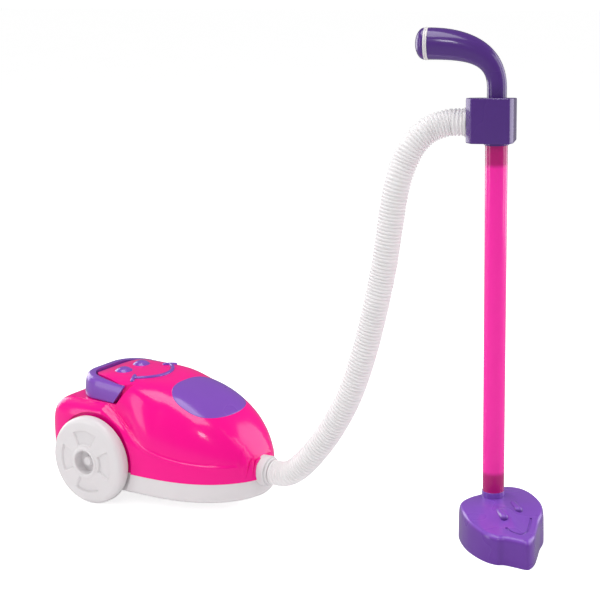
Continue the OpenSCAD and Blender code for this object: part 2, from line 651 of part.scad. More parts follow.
module grip_end_cap() color(dark_purple) on_wand() translate([grip_reach - 2 + ring_w, 0, grip_axis_z])
    rotate([0, 90, 0]) rotate_extrude() polygon(concat([[0, -ring_w - peg_len + 0.5], [5, -ring_w - peg_len + 0.5],
        [5, 0]], [for (a = [0:10:80]) [grip_end_r * cos(a), cap_dome * sin(a)]], [[0, cap_dome]]));

module tube_collar() color(dark_purple) on_wand() difference() {
    union() {
        translate([0, 0, collar_z]) cylinder(r = tube_r + 1.2, h = collar_t);
        translate([0, 0, collar_z]) cylinder(r = spigot_r, h = spigot_top - collar_z);
        translate([0, 0, collar_z - 20]) cylinder(r = plug_r, h = 20 + eps);
    }
    translate([0, 0, collar_z - 21]) cylinder(r = air_r - 1.4, h = 80);
}
module wand_tube() color(pink) on_wand() translate([0, 0, neck_z]) difference() {
    cylinder(r = tube_r, h = collar_z - neck_z);
    translate([0, 0, -1]) cylinder(r = plug_r, h = collar_z - neck_z + 2);
}
module nozzle_neck() color(purple) translate(wand_at) difference() {
    union() {
        translate([0, 0, socket_z]) cylinder(r = tube_r + 0.6, h = neck_z - socket_z);
        translate([0, 0, socket_z]) cylinder(r = plug_r, h = neck_z + 20 - socket_z);
    }
    translate([0, 0, socket_z - 1]) cylinder(r = air_r, h = 80);
}

// Nozzle: its plan is a smooth closed line through these points, tip first, about the wand's foot
nozzle_plan = [[111, 0], [108.5, 6], [99, 13], [84, 20.5], [66, 29], [46, 40], [22, 46], [-6, 45], [-24, 38],
    [-32, 25], [-28, 8], [-16, -9], [-9, -24], [4, -38], [25, -43], [50, -43], [70, -38.5], [84, -32.5], [92.5, -25],
    [95, -17.5], [103, -8.5]];
nozzle_mid = [28, 0];
plan_n = len(nozzle_plan);
nozzle_line = [for (i = [0:plan_n - 1], k = [0:2]) curve(nozzle_plan[(i + plan_n - 1) % plan_n], nozzle_plan[i],
    nozzle_plan[(i + 1) % plan_n], nozzle_plan[(i + 2) % plan_n], k / 3)];
function nozzle_rim(u) = nozzle_h - 6 * ease(u, 20, 100);
function nozzle_ring(s, f, lift) = [for (p = nozzle_line) let (q = nozzle_mid + s * (p - nozzle_mid))
    [q[0], q[1], f * nozzle_rim(p[0]) + lift]];
function nozzle_top(u) = nozzle_rim(u + 15) + 1.4;
function nozzle_flat(s, z) = [for (p = nozzle_line) let (q = nozzle_mid + s * (p - nozzle_mid)) [q[0], q[1], z]];
nozzle_hollow = nozzle_h - 10;
// The smile's groove, as points on the nozzle's top, and the two long eyes
nozzle_smile = [[73, -9, 31.6], [80, -8, 31.3], [86, -5.5, 31], [91, -1.5, 30.8], [91.5, 3, 30.8], [87.5, 7.5, 31],
    [80, 12, 31.4], [70, 17, 32.2], [58, 22, 33.2]];
smile_groove = 1.5;
nozzle_eyes = [[49, -6], [34, 14]];
nozzle_eye_r = 4;
nozzle_eye_long = 17;
function groove_ring(i) = let (p = nozzle_smile[i], w = unit(pick(nozzle_smile, i + 1) - pick(nozzle_smile, i - 1)),
    a = unit([-w[1], w[0], 0])) [for (j = [0:7]) p + smile_groove * (cos(45 * j) * a + sin(45 * j) * [0, 0, 1])];
module nozzle() color(purple) translate(wand_at) rotate([0, 0, nozzle_turn]) difference() {
    union() {
        stack([nozzle_flat(0.985, 0), nozzle_flat(1, 2), nozzle_ring(0.995, 0.7, 0), nozzle_ring(0.98, 0.88, 0),
            nozzle_ring(0.94, 0.97, 0), nozzle_ring(0.87, 1, 0), nozzle_ring(0.6, 1, 1.4),
            nozzle_flat(0.25, nozzle_h + 1.8)]);
        for (e = nozzle_eyes) translate([e[0], e[1], nozzle_top(e[0]) - 1.4]) {
            rotate([0, 90, 0]) cylinder(r = nozzle_eye_r, h = nozzle_eye_long, center = true);
            for (side = [-1, 1]) translate([side * nozzle_eye_long / 2, 0, 0]) sphere(r = nozzle_eye_r);
        }
    }
    stack([for (i = [0:len(nozzle_smile) - 1]) groove_ring(i)]);
    stack([nozzle_flat(1 - nozzle_inset, -1), nozzle_flat(1 - nozzle_inset, nozzle_hollow - 6),
        nozzle_flat(0.8, nozzle_hollow)]);
    translate([0, 0, socket_z]) cylinder(r = tube_r + 0.6, h = 40);
    cylinder(r = air_r, h = 60);
}

upper_shell();
base_tray();
hose_port();
nose_window();
eye_right();
eye_left();
smile();
carry_handle();
handle_pin_right();
handle_pin_left();
rear_axle();
rear_wheel_right();
rear_wheel_left();
axle_cap_right();
axle_cap_left();
base_screws();
caster_fork();
caster_wheel();
caster_pin();
caster_clip();
hose();
hose_cuff_lower();
hose_cuff_upper();
handle_block();
grip();
grip_ring();
grip_end_cap();
tube_collar();
wand_tube();
nozzle_neck();
nozzle();
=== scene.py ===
"""Toy vacuum cleaner: the picture's finer forms, riding on the CAD bodies.

Lengths are in millimetres until a mesh is made. The camera, the floor and the lights are in metres.
"""

import math

import bmesh
import bpy
from mathutils import Matrix, Vector
from mathutils.bvhtree import BVHTree


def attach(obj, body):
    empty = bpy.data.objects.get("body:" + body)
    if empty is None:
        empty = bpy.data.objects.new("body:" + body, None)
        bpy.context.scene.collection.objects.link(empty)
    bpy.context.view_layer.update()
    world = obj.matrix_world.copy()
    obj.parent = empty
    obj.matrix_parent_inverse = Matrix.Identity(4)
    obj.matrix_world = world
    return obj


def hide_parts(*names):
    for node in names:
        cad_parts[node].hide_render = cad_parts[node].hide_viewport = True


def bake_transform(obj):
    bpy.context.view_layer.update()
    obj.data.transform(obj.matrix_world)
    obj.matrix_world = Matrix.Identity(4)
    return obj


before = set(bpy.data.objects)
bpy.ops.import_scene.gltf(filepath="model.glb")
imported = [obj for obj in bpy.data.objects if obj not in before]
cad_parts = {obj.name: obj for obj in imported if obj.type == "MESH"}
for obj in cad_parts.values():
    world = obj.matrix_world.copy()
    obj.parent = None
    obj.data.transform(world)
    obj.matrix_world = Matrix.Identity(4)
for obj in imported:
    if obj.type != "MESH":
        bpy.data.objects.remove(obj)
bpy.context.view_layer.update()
scene = bpy.context.scene
MM = 0.001

# Meshes: edges above this angle stay sharp, and points closer than this, in metres, become one
SHARP = 38
WELD = 1e-7
LATHE_SIDES = 96
# Radius of a turned piece at a closed end, and a quarter turn that stops just short of the axis
TIP_R = 0.001
NEAR_QUARTER = math.pi / 2 - 0.01
# The most of an edge that one rounded corner may take
ROUND_MOST = 0.48


# Small helpers for numbers, lines and meshes
def clamp01(t):
    return max(0.0, min(1.0, t))


def ease(x, a, b):
    """0 at a and 1 at b, with a smooth start and end; b may be less than a."""
    t = clamp01((x - a) / (b - a))
    return t * t * (3 - 2 * t)


def falls(u, p, q):
    """Falls from 1 at u = 0 to 0 at u = 1, fuller for larger powers."""
    return max(0.0, 1 - clamp01(u) ** p) ** (1 / q)


def spread(a, b, n):
    """From a to b in n even steps."""
    return [a + (b - a) * i / n for i in range(n + 1)]


def spline(points, fine, closed=False):
    """Smooth line through the points, with fine steps between each two."""
    count = len(points)
    line = []
    for i in range(count if closed else count - 1):
        if closed:
            a, b, c, d = (points[(i + k) % count] for k in (-1, 0, 1, 2))
        else:
            a, b, c, d = (points[max(0, min(count - 1, i + k))] for k in (-1, 0, 1, 2))
        for k in range(fine):
            t = k / fine
            line.append((2 * b + (c - a) * t + (2 * a - 5 * b + 4 * c - d) * t * t
                         + (3 * b - a - 3 * c + d) * t * t * t) / 2)
    if not closed:
        line.append(points[-1].copy())
    return line


def rounded(profile, radius, steps=5, closed=False):
    """The profile with its corners rounded; radius is one number or one for each corner."""
    count = len(profile)
    line = []
    for i in range(count):
        here = Vector(profile[i])
        size = radius[i] if isinstance(radius, (list, tuple)) else radius
        if size <= 0 or (not closed and i in (0, count - 1)):
            line.append(tuple(here))
            continue
        before = Vector(profile[i - 1]) - here
        after = Vector(profile[(i + 1) % count]) - here
        a = here + before.normalized() * min(size, before.length * ROUND_MOST)
        b = here + after.normalized() * min(size, after.length * ROUND_MOST)
        for k in range(steps + 1):
            t = k / steps
            line.append(tuple((1 - t) ** 2 * a + 2 * t * (1 - t) * here + t * t * b))
    return line


def smooth(obj, sharp):
    obj.data.shade_smooth()
    obj.data.set_sharp_from_angle(angle=math.radians(sharp))


def add_mesh(name, points, faces, place, sharp):
    turned = [(place @ Vector(p) if place else Vector(p)) * MM for p in points]
    mesh = bpy.data.meshes.new(name)
    mesh.from_pydata(turned, [], faces)
    tidy = bmesh.new()
    tidy.from_mesh(mesh)
    bmesh.ops.remove_doubles(tidy, verts=tidy.verts, dist=WELD)
    bmesh.ops.recalc_face_normals(tidy, faces=tidy.faces)
    tidy.to_mesh(mesh)
    tidy.free()
    obj = bpy.data.objects.new(name, mesh)
    scene.collection.objects.link(obj)
    smooth(obj, sharp)
    return obj


def stack(name, rings, place=None, wrap=False, sharp=SHARP):
    """A skin over rings of points, closed flat at its ends, or with wrap from the last ring to the first."""
    count = len(rings[0])
    rows = len(rings)
    points = [p for ring in rings for p in ring]
    faces = []
    for i in range(rows if wrap else rows - 1):
        low = i * count
        high = ((i + 1) % rows) * count
        for j in range(count):
            k = (j + 1) % count
            faces.append((low + j, low + k, high + k, high + j))
    if not wrap:
        faces.append(tuple(range(count)))
        faces.append(tuple((rows - 1) * count + j for j in range(count)))
    return add_mesh(name, points, faces, place, sharp)


def lathe(name, profile, place, sides=LATHE_SIDES, wrap=False):
    """The profile, as radius and height, turned about the Z axis of its place."""
    rings = []
    for r, h in profile:
        rings.append([(r * math.cos(2 * math.pi * j / sides), r * math.sin(2 * math.pi * j / sides), h)
                      for j in range(sides)])
    return stack(name, rings, place, wrap=wrap)


def rod(name, r, low, high, place):
    return lathe(name, [(r, low), (r, high)], place)


def cut(obj, cutters, operation="DIFFERENCE", sharp=SHARP):
    """Cuts the cutters out of the object, or adds them to it, and removes them."""
    for cutter in cutters:
        change = obj.modifiers.new("cut", "BOOLEAN")
        change.operation = operation
        change.solver = "EXACT"
        change.object = cutter
        made = obj.evaluated_get(bpy.context.evaluated_depsgraph_get())
        mesh = bpy.data.meshes.new_from_object(made)
        obj.modifiers.clear()
        obj.data = mesh
        bpy.data.objects.remove(cutter)
    smooth(obj, sharp)
    return obj


def move(x, y, z):
    return Matrix.Translation((x, y, z))


def turn(degrees, axis):
    return Matrix.Rotation(math.radians(degrees), 4, axis)


# Where the canister's axle and the wand's foot stand, and which way the wand's parts point
CANISTER_AT = Vector((-212.42, -14.23, 0))
WAND_AT = Vector((210.68, 60.47, 0))
GRIP_TURN = 199
NOZZLE_TURN = -46.8
CANISTER = Matrix.Translation(CANISTER_AT)
WAND = Matrix.Translation(WAND_AT) @ turn(GRIP_TURN, "Z")
NOZZLE = Matrix.Translation(WAND_AT) @ turn(NOZZLE_TURN, "Z")
GRIP_WAY = Vector((math.cos(math.radians(GRIP_TURN)), math.sin(math.radians(GRIP_TURN)), 0))

# Camera, from the same point as the photo's
PITCH = math.radians(13.164)
ROLL = math.radians(-1.219)
YAW = math.radians(33.495)
SENSOR = 36
LENS = 90
CAMERA_AT = Vector((0.86668, -1.29133, 0.6016))
right = Vector((math.cos(YAW), math.sin(YAW), 0))
ahead = Vector((-math.sin(YAW) * math.cos(PITCH), math.cos(YAW) * math.cos(PITCH), -math.sin(PITCH)))
down = -right.cross(ahead)
camera_x = math.cos(ROLL) * right - math.sin(ROLL) * down
camera_y = -(math.sin(ROLL) * right + math.cos(ROLL) * down)
camera_data = bpy.data.cameras.new("camera")
camera_data.sensor_width = SENSOR
camera_data.lens = LENS
camera = bpy.data.objects.new("camera", camera_data)
camera.matrix_world = Matrix((camera_x, camera_y, -ahead)).transposed().to_4x4()
camera.matrix_world.translation = CAMERA_AT
scene.collection.objects.link(camera)
scene.camera = camera

# Hose: a ribbed tube along the CAD's route, from the canister's cuff to the wand's
HOSE_R = 13.75
HOSE_BORE_R = 10.5
HOSE_SIDES = 40
HOSE_FINE = 16
HOSE_SHARP = 60
RIB_PITCH = 3.6
RIB_DEEP = 1.5
RIB_STEPS = 8
RIB_POWER = 1.5
BORE_STEPS = 80
PORT_Z = 46
PORT_FRONT = 191
CUFF_FLANGE_T = 3
BLOCK_SIDE = 29
HOSE_Z = 430
# The hose leaves both cuffs straight and dips a little before the upper one
LOWER_LEAD = 10
UPPER_LEAD = 8
UPPER_DIP = 0.6
END_STRAIGHT = 2
WAY_REACH = 1.5
hose_start = CANISTER_AT + Vector((PORT_FRONT + CUFF_FLANGE_T, 0, PORT_Z))
hose_end = WAND_AT + (BLOCK_SIDE + CUFF_FLANGE_T) * GRIP_WAY + Vector((0, 0, HOSE_Z))
HOSE_BENDS = [
    (214, 0, 48), (224, 1, 54), (236, 2, 65), (248, 3, 79), (260, 5, 95), (273, 7, 116), (285, 9, 139),
    (294, 11, 162), (301, 13, 184), (307, 15, 206), (312, 17, 228), (317, 18, 249), (321, 20, 270),
    (325, 21, 291), (328, 22, 312), (331, 23, 332), (334, 24, 353), (338, 26, 373), (342.6, 31, 391),
    (348.5, 36, 406), (356, 43, 417.5), (364, 50, 424.5)]
hose_route = [hose_start, hose_start + Vector((LOWER_LEAD, 0, 0))]
hose_route += [CANISTER_AT + Vector(p) for p in HOSE_BENDS]
hose_route += [hose_end + 2 * UPPER_LEAD * GRIP_WAY - Vector((0, 0, UPPER_DIP)),
               hose_end + UPPER_LEAD * GRIP_WAY, hose_end]
hose_line = spline(hose_route, HOSE_FINE)
hose_run = [0.0]
for a, b in zip(hose_line, hose_line[1:]):
    hose_run.append(hose_run[-1] + (b - a).length)
hose_length = hose_run[-1]


def hose_at(s):
    """The point at the length s along the hose."""
    low, high = 0, len(hose_run) - 1
    while high - low > 1:
        mid = (low + high) // 2
        if hose_run[mid] <= s:
            low = mid
        else:
            high = mid
    t = (s - hose_run[low]) / max(1e-9, hose_run[high] - hose_run[low])
    return hose_line[low].lerp(hose_line[high], t)


def hose_way(s):
    """The direction in which the hose runs there."""
    if s < END_STRAIGHT:
        return Vector((1, 0, 0))
    if s > hose_length - END_STRAIGHT:
        return -GRIP_WAY
    return (hose_at(s + WAY_REACH) - hose_at(s - WAY_REACH)).normalized()


# The hose bends in about one upright sheet, and this is the way across it
SHEET_TURN = math.radians(17)
hose_sheet = Vector((-math.sin(SHEET_TURN), math.cos(SHEET_TURN), 0))


def hose_ring(s, r):
    way = hose_way(s)
    side = (hose_sheet - hose_sheet.dot(way) * way).normalized()
    other = way.cross(side)
    ring = []
    for j in range(HOSE_SIDES):
        t = 2 * math.pi * j / HOSE_SIDES
        ring.append(hose_at(s) + r * (math.cos(t) * side + math.sin(t) * other))
    return ring


rib_rings = math.floor(hose_length / RIB_PITCH) * RIB_STEPS
hose_rings = []
for i in range(rib_rings + 1):
    wave = 0.5 + 0.5 * math.cos(2 * math.pi * i / RIB_STEPS)
    hose_rings.append(hose_ring(hose_length * i / rib_rings, HOSE_R - RIB_DEEP * wave ** RIB_POWER))
hose_rings += [hose_ring(s, HOSE_BORE_R) for s in spread(hose_length, 0, BORE_STEPS)]
hose = stack("ribbed_hose", hose_rings, wrap=True, sharp=HOSE_SHARP)
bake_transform(hose)
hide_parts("hose")


# Materials
def linear(r, g, b):
    """An sRGB colour, 0 to 255, as the linear one that a shader takes."""
    def one(c):
        c = c / 255
        return c / 12.92 if c <= 0.04045 else ((c + 0.055) / 1.055) ** 2.4
    return one(r), one(g), one(b), 1


class Look:
    """A material's node tree, with short ways to add and join nodes."""

    def __init__(self, name):
        self.material = bpy.data.materials.new(name)
        self.material.use_nodes = True
        self.nodes = self.material.node_tree.nodes
        self.links = self.material.node_tree.links
        self.shader = self.nodes["Principled BSDF"]
        self.coords = self.add("ShaderNodeTexCoord")

    def add(self, kind, **values):
        node = self.nodes.new(kind)
        for name, value in values.items():
            setattr(node, name, value)
        return node

    def join(self, out, socket):
        self.links.new(out, socket)

    def noise(self, scale, detail):
        node = self.add("ShaderNodeTexNoise")
        node.inputs["Scale"].default_value = scale
        node.inputs["Detail"].default_value = detail
        self.join(self.coords.outputs["Object"], node.inputs["Vector"])
        return node.outputs["Fac"]

    def span(self, fac, low, high):
        """Turns 0.3 to 0.7, where most of a noise lies, into low to high."""
        node = self.add("ShaderNodeMapRange")
        node.inputs["From Min"].default_value = 0.3
        node.inputs["From Max"].default_value = 0.7
        node.inputs["To Min"].default_value = low
        node.inputs["To Max"].default_value = high
        self.join(fac, node.inputs["Value"])
        return node.outputs["Result"]

    def blend(self, fac, a, b):
        """Mixes two colours, which are inputs 6 and 7 and output 2 of the node."""
        node = self.add("ShaderNodeMix", data_type="RGBA")
        self.join(fac, node.inputs["Factor"])
        for value, socket in ((a, node.inputs[6]), (b, node.inputs[7])):
            if isinstance(value, bpy.types.NodeSocket):
                self.join(value, socket)
            else:
                socket.default_value = value
        return node.outputs[2]


def shade(colour, k):
    return tuple(min(1, c * k) for c in colour[:3]) + (1,)


# Plastic: scale and detail of each noise, and how far it changes the colour, the gloss and the skin
COLOUR_NOISE = (45, 4)
COLOUR_DARKEST = 0.975
COLOUR_LIGHTEST = 1.02
GLOSS_NOISE = (18, 2)
GLOSS_LOW = 0.94
GLOSS_HIGH = 1.06
GRAIN_NOISE = (420, 3)
GRAIN = 0.004
GRAIN_DEEP = 0.0006
COAT_ROUGH = 0.13
PLASTIC_IOR = 1.5
# How deep light goes into a milky plastic, in metres, and how that differs by colour
SOFT_DEEP = 0.004
SOFT_RADIUS = (1, 0.85, 0.85)
EDGE_SAMPLES = 6


def plastic(name, colour, rough, coat=0.0, soft=0.0, edge=0.6, shine=0.5, painted_side_shade=None):
    """Moulded plastic: slight unevenness in colour and gloss, a fine skin grain and rounded edges.

    edge is the radius of the rounded edges. The side colour, if given, is painted shade: a darker colour on
    the upright sides that blends into the base colour toward the top.
    """
    look = Look(name)
    shader = look.shader
    shader.inputs["Specular IOR Level"].default_value = shine
    base = look.blend(look.noise(*COLOUR_NOISE), shade(colour, COLOUR_DARKEST),
                      shade(colour, COLOUR_LIGHTEST))
    # Painted shade: faces turned sideways take the darker side colour, which fades back to the base colour on
    # faces turned upward
    if painted_side_shade:
        facing = look.add("ShaderNodeNewGeometry")
        upward = look.add("ShaderNodeSeparateXYZ")
        look.join(facing.outputs["Normal"], upward.inputs["Vector"])
        base = look.blend(look.span(upward.outputs["Z"], 0, 1), painted_side_shade, base)
    look.join(base, shader.inputs["Base Color"])
    gloss = look.span(look.noise(*GLOSS_NOISE), rough * GLOSS_LOW, rough * GLOSS_HIGH)
    look.join(gloss, shader.inputs["Roughness"])
    bump = look.add("ShaderNodeBump")
    bump.inputs["Strength"].default_value = GRAIN
    bump.inputs["Distance"].default_value = GRAIN_DEEP
    look.join(look.noise(*GRAIN_NOISE), bump.inputs["Height"])
    if edge:
        bevel = look.add("ShaderNodeBevel", samples=EDGE_SAMPLES)
        bevel.inputs["Radius"].default_value = edge * MM
        look.join(bevel.outputs["Normal"], bump.inputs["Normal"])
    look.join(bump.outputs["Normal"], shader.inputs["Normal"])
    shader.inputs["IOR"].default_value = PLASTIC_IOR
    shader.inputs["Coat Weight"].default_value = coat
    shader.inputs["Coat Roughness"].default_value = COAT_ROUGH
    if soft:
        shader.inputs["Subsurface Weight"].default_value = soft
        shader.inputs["Subsurface Scale"].default_value = SOFT_DEEP
        shader.inputs["Subsurface Radius"].default_value = SOFT_RADIUS
    return look


pink = plastic("hot_pink", linear(252, 0, 143), 0.3, coat=0.7, edge=0, shine=0.1).material
purple = plastic("purple", linear(130, 78, 187), 0.28, coat=0.7, edge=0, shine=0.2).material
# The nozzle's purple carries painted shade: it is darker on its upright sides than on its top
nozzle_purple_painted_shade = plastic("nozzle_purple_painted_shade", linear(136, 82, 197), 0.28, coat=0.6, edge=0, shine=0.2,
                        painted_side_shade=linear(108, 60, 160)).material
dark_purple = plastic("dark_purple", linear(80, 45, 126), 0.28, coat=0.8, shine=0.2).material
milk = plastic("milk_white", linear(226, 222, 224), 0.34, soft=0.2).material
hose_white = plastic("hose_white", linear(237, 234, 235), 0.42, soft=0.15, edge=0).material
steel_look = plastic("steel", linear(190, 190, 194), 0.3, edge=0.2)
steel_look.shader.inputs["Metallic"].default_value = 1
steel = steel_look.material

# The tube is a little see-through: it is darker where the plugs stand in its ends.
# Each stop is a part of the tube's height, with 1 where a plug is and 0 where none is
TUBE_STOPS = ((0.05, 1), (0.062, 0), (0.938, 0), (0.95, 1))
TUBE_DARK = linear(188, 14, 116)
tube_look = plastic("tube_pink", linear(252, 36, 168), 0.24, coat=0.8, edge=0, shine=0.2)
height = tube_look.add("ShaderNodeSeparateXYZ")
tube_look.join(tube_look.coords.outputs["Generated"], height.inputs["Vector"])
ends = tube_look.add("ShaderNodeValToRGB")
for i, (position, value) in enumerate(TUBE_STOPS):
    stop = ends.color_ramp.elements[i] if i < 2 else ends.color_ramp.elements.new(position)
    stop.position = position
    stop.color = (value, value, value, 1)
tube_look.join(height.outputs["Z"], ends.inputs["Fac"])
tube_colour = tube_look.shader.inputs["Base Color"].links[0].from_socket
tube_look.join(tube_look.blend(ends.outputs["Color"], tube_colour, TUBE_DARK),
               tube_look.shader.inputs["Base Color"])
tube_pink = tube_look.material
hose.data.materials.append(hose_white)


def part(obj, body, node, material):
    """The object stands for the CAD node and rides on its body."""
    obj.data.materials.clear()
    obj.data.materials.append(material)
    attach(obj, body)
    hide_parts(node)
    return obj


# Canister: the CAD's formulas for the skirt, the dome and the swoosh between them
BODY_W = 144
SEAM_Z = 40
PANEL_Z = 139
TRAY_Z = 16
REAR = 77
WIDEST_X = 60
SKIRT_FRONT = 184
NOSE = 186
SHOULDER_X = -45
SHOULDER_Z = 111
HEAD_REAR = -46
HEAD_HALF = 56
DOME_HALF_W = 70.56
DOME_WIDENS = (10, 80)
BELLY_Z = 42
CREST_X = -20
HEAD_FALL = 6
HEAD_RUN = 33
SWOOSH_X = 8
SWOOSH_RUN = 60
SWOOSH_DROP = 50
LIP_RISE = 1.3
LIP_WIDE = 1.7
LIP_BELOW = 1.4
LIP_STARTS = (-20, 20)
LIP_ENDS = (178, 140)
HINGE_X = 25.5
HINGE_Z = 127.5
POCKET_Z = 111.5
AXLE_Z = 50
WELL_IN = 68
WELL_OUT = 110
WELL_R = 53
# Powers that set how full the rounded ends and the cross-sections are
SKIRT_NOSE_P = 2.6
SKIRT_REAR_P = 6
SHOULDER_P = 2.6
DOME_NOSE_P = 2.4
NOSE_Q = 2
CREST_P = 3.2
CREST_Q = 1.6
HEAD_P = 2.5
SWOOSH_P = 1.3
SKIRT_E = 9
DOME_E = 3.2
HEAD_E_MORE = 2.8
HEAD_E_RUN = (20, 85)
# Below these a width or a cross-section counts as nothing
LEAST_HALF = 0.1
LEAST_BOX = 0.05


def skirt_half(x):
    if x > WIDEST_X:
        return BODY_W / 2 * falls((x - WIDEST_X) / (SKIRT_FRONT - WIDEST_X), SKIRT_NOSE_P, NOSE_Q)
    return BODY_W / 2 * falls((WIDEST_X - x) / (WIDEST_X + REAR), SKIRT_REAR_P, SKIRT_REAR_P)


def skirt_top(x):
    if x < SHOULDER_X:
        behind = (SHOULDER_X - x) / (REAR + SHOULDER_X)
        return SEAM_Z + (SHOULDER_Z - SEAM_Z) * falls(behind, SHOULDER_P, SHOULDER_P)
    run = max(0, x - SWOOSH_X) / SWOOSH_RUN
    return SHOULDER_Z - SWOOSH_DROP * (1 - math.exp(-run ** SWOOSH_P))


def dome_half(x):
    wide = HEAD_HALF + (DOME_HALF_W - HEAD_HALF) * ease(x, *DOME_WIDENS)
    return wide * falls((x - WIDEST_X) / (NOSE - WIDEST_X), DOME_NOSE_P, NOSE_Q)


def dome_top(x):
    rise = falls((x - CREST_X) / (NOSE - CREST_X), CREST_P, CREST_Q)
    head_fall = HEAD_FALL * (-x / HEAD_RUN) ** HEAD_P if x < 0 else 0
    return BELLY_Z + (PANEL_Z - BELLY_Z) * rise - head_fall


def dome_e(x):
    return DOME_E + HEAD_E_MORE * (1 - ease(x, *HEAD_E_RUN))


def dome_z(x, y):
    e = dome_e(x)
    return SEAM_Z + (dome_top(x) - SEAM_Z) * falls(abs(y) / max(LEAST_HALF, dome_half(x)), e, e)


def box_r(t, w, h, e):
    """Radius of a rounded box in the direction t, seen along X from the middle of the seam."""
    if w < LEAST_BOX or h < LEAST_BOX:
        return 0
    return ((abs(math.cos(t)) / w) ** e + (abs(math.sin(t)) / h) ** e) ** (-1 / e)


def skirt_r(t, x):
    return box_r(t, skirt_half(x), skirt_top(x) - SEAM_Z, SKIRT_E)


def dome_r(t, x):
    return 0 if x < HEAD_REAR else box_r(t, dome_half(x), dome_top(x) - SEAM_Z, dome_e(x))


# Where the swoosh lies in a cross-section: searched between two angles and kept between two others
REAR_CREASE = math.radians(55)
CREASE_SEARCH = (math.radians(2), math.radians(88))
CREASE_KEPT = (math.radians(10), math.radians(76))
CREASE_TRIES = 24


def crease_at(x):
    """The direction in which the skirt gives way to the dome."""
    if x < HEAD_REAR:
        return REAR_CREASE
    low, high = CREASE_SEARCH
    for _ in range(CREASE_TRIES):
        mid = (low + high) / 2
        if skirt_r(mid, x) > dome_r(mid, x):
            low = mid
        else:
            high = mid
    return max(CREASE_KEPT[0], min(CREASE_KEPT[1], low))


# Steps of a cross-section below and above the swoosh, and how much they crowd toward it
BELOW_CREASE = 34
ABOVE_CREASE = 40
CROWDING = 1.8
# A high power, so that the skirt and the dome run into each other within a narrow strip
MERGE_P = 160


def section(x):
    """One cross-section, with a rolled lip along the swoosh."""
    tc = crease_at(x)
    quarter = [tc * (1 - (1 - i / BELOW_CREASE) ** CROWDING) for i in range(BELOW_CREASE)]
    quarter += [tc + (math.pi / 2 - tc) * (i / ABOVE_CREASE) ** CROWDING for i in range(ABOVE_CREASE)]
    lip = LIP_RISE * ease(x, *LIP_STARTS) * ease(x, *LIP_ENDS)
    ring = []
    for t in quarter + [math.pi / 2] + [math.pi - a for a in reversed(quarter)]:
        s, d = skirt_r(t, x), dome_r(t, x)
        r = max(s, d)
        if min(s, d) > 1:
            r *= (1 + (min(s, d) / r) ** MERGE_P) ** (1 / MERGE_P)
        off = ((t if t < math.pi / 2 else math.pi - t) - tc) * r + LIP_BELOW
        r += lip * math.exp(-(off / LIP_WIDE) ** 2)
        ring.append((x, r * math.cos(t), SEAM_Z + r * math.sin(t)))
    return ring


PLUG_RHO = 58.5
PLUG_HALF = 48.5
PLUG_ROUND = 27
PLUG_SLOPE = 0.278
PLUG_STEPS = 18
PLUG_SIDES = 240


def plug(name, grow):
    """The block under the face panel, larger by grow, turned about the handle's hinge."""
    rho, half = PLUG_RHO + grow, PLUG_HALF + grow
    tilt = math.atan(PLUG_SLOPE)
    side = half - PLUG_SLOPE * (rho - PLUG_ROUND + PLUG_ROUND * math.sin(tilt)) - PLUG_ROUND * math.cos(tilt)
    profile = [(TIP_R, half)]
    for a in spread(math.pi / 2 - tilt, 0, PLUG_STEPS):
        profile.append((rho - PLUG_ROUND + PLUG_ROUND * math.cos(a), side + PLUG_ROUND * math.sin(a)))
    profile += [(r, -h) for r, h in reversed(profile)]
    return lathe(name, profile, CANISTER @ move(HINGE_X, 0, HINGE_Z) @ turn(90, "X"), sides=PLUG_SIDES)


def side_place(side):
    """Along the rear axle, with Z out to that side."""
    return CANISTER @ move(0, 0, AXLE_Z) @ turn(-90 * side, "X")


# Places along X of the cross-sections, close together at the rounded ends and where the dome begins
REAR_RUN = 33
FRONT_FROM = 150
END_STEPS = 22
MIDDLE_STEPS = 78
DOME_BEGINS = [-46.05, -45.95]
REAR_TIP = 0.02
NOSE_TIP = 0.03
stations = [-REAR + REAR_TIP]
stations += [-REAR + REAR_RUN * (1 - math.cos(math.pi / 2 * i / END_STEPS)) for i in range(1, END_STEPS)]
stations += DOME_BEGINS
stations += spread(SHOULDER_X, FRONT_FROM, MIDDLE_STEPS)[1:]
stations += [FRONT_FROM + (NOSE - FRONT_FROM) * math.sin(math.pi / 2 * i / END_STEPS)
             for i in range(1, END_STEPS)]
stations += [NOSE - NOSE_TIP]
shell = stack("shell", [section(x) for x in stations], CANISTER)

# The pocket that the band lies in has a sloping front wall and leaves the face panel's block standing
BAND_FOOT = 16
BAND_FOOT_GAP = 5.6
POCKET_SLOPE = 0.8
POCKET_BACK = -REAR - 5
POCKET_HIGH = PANEL_Z + 20
POCKET_HALF = 100
pocket_foot = BAND_FOOT + BAND_FOOT_GAP
pocket_side = [(POCKET_BACK, POCKET_Z), (pocket_foot, POCKET_Z),
               (pocket_foot + POCKET_SLOPE * (POCKET_HIGH - POCKET_Z), POCKET_HIGH),
               (POCKET_BACK, POCKET_HIGH)]
pocket = stack("pocket", [[(x, y, z) for x, z in pocket_side] for y in (-POCKET_HALF, POCKET_HALF)], CANISTER)
cut(pocket, [plug("plug", 0)])
PORT_R = 17
PORT_HOLE_BACK = 158
port_place = CANISTER @ move(0, 0, PORT_Z) @ turn(90, "Y")


def wells_and_port():
    """Cutters for the two wheel wells and the port's hole."""
    wells = [rod("well", WELL_R, WELL_IN, WELL_OUT, side_place(side)) for side in (1, -1)]
    return wells + [rod("port_hole", PORT_R, PORT_HOLE_BACK, NOSE + 10, port_place)]


cut(shell, [pocket] + wells_and_port())
part(shell, "canister", "upper_shell", pink)

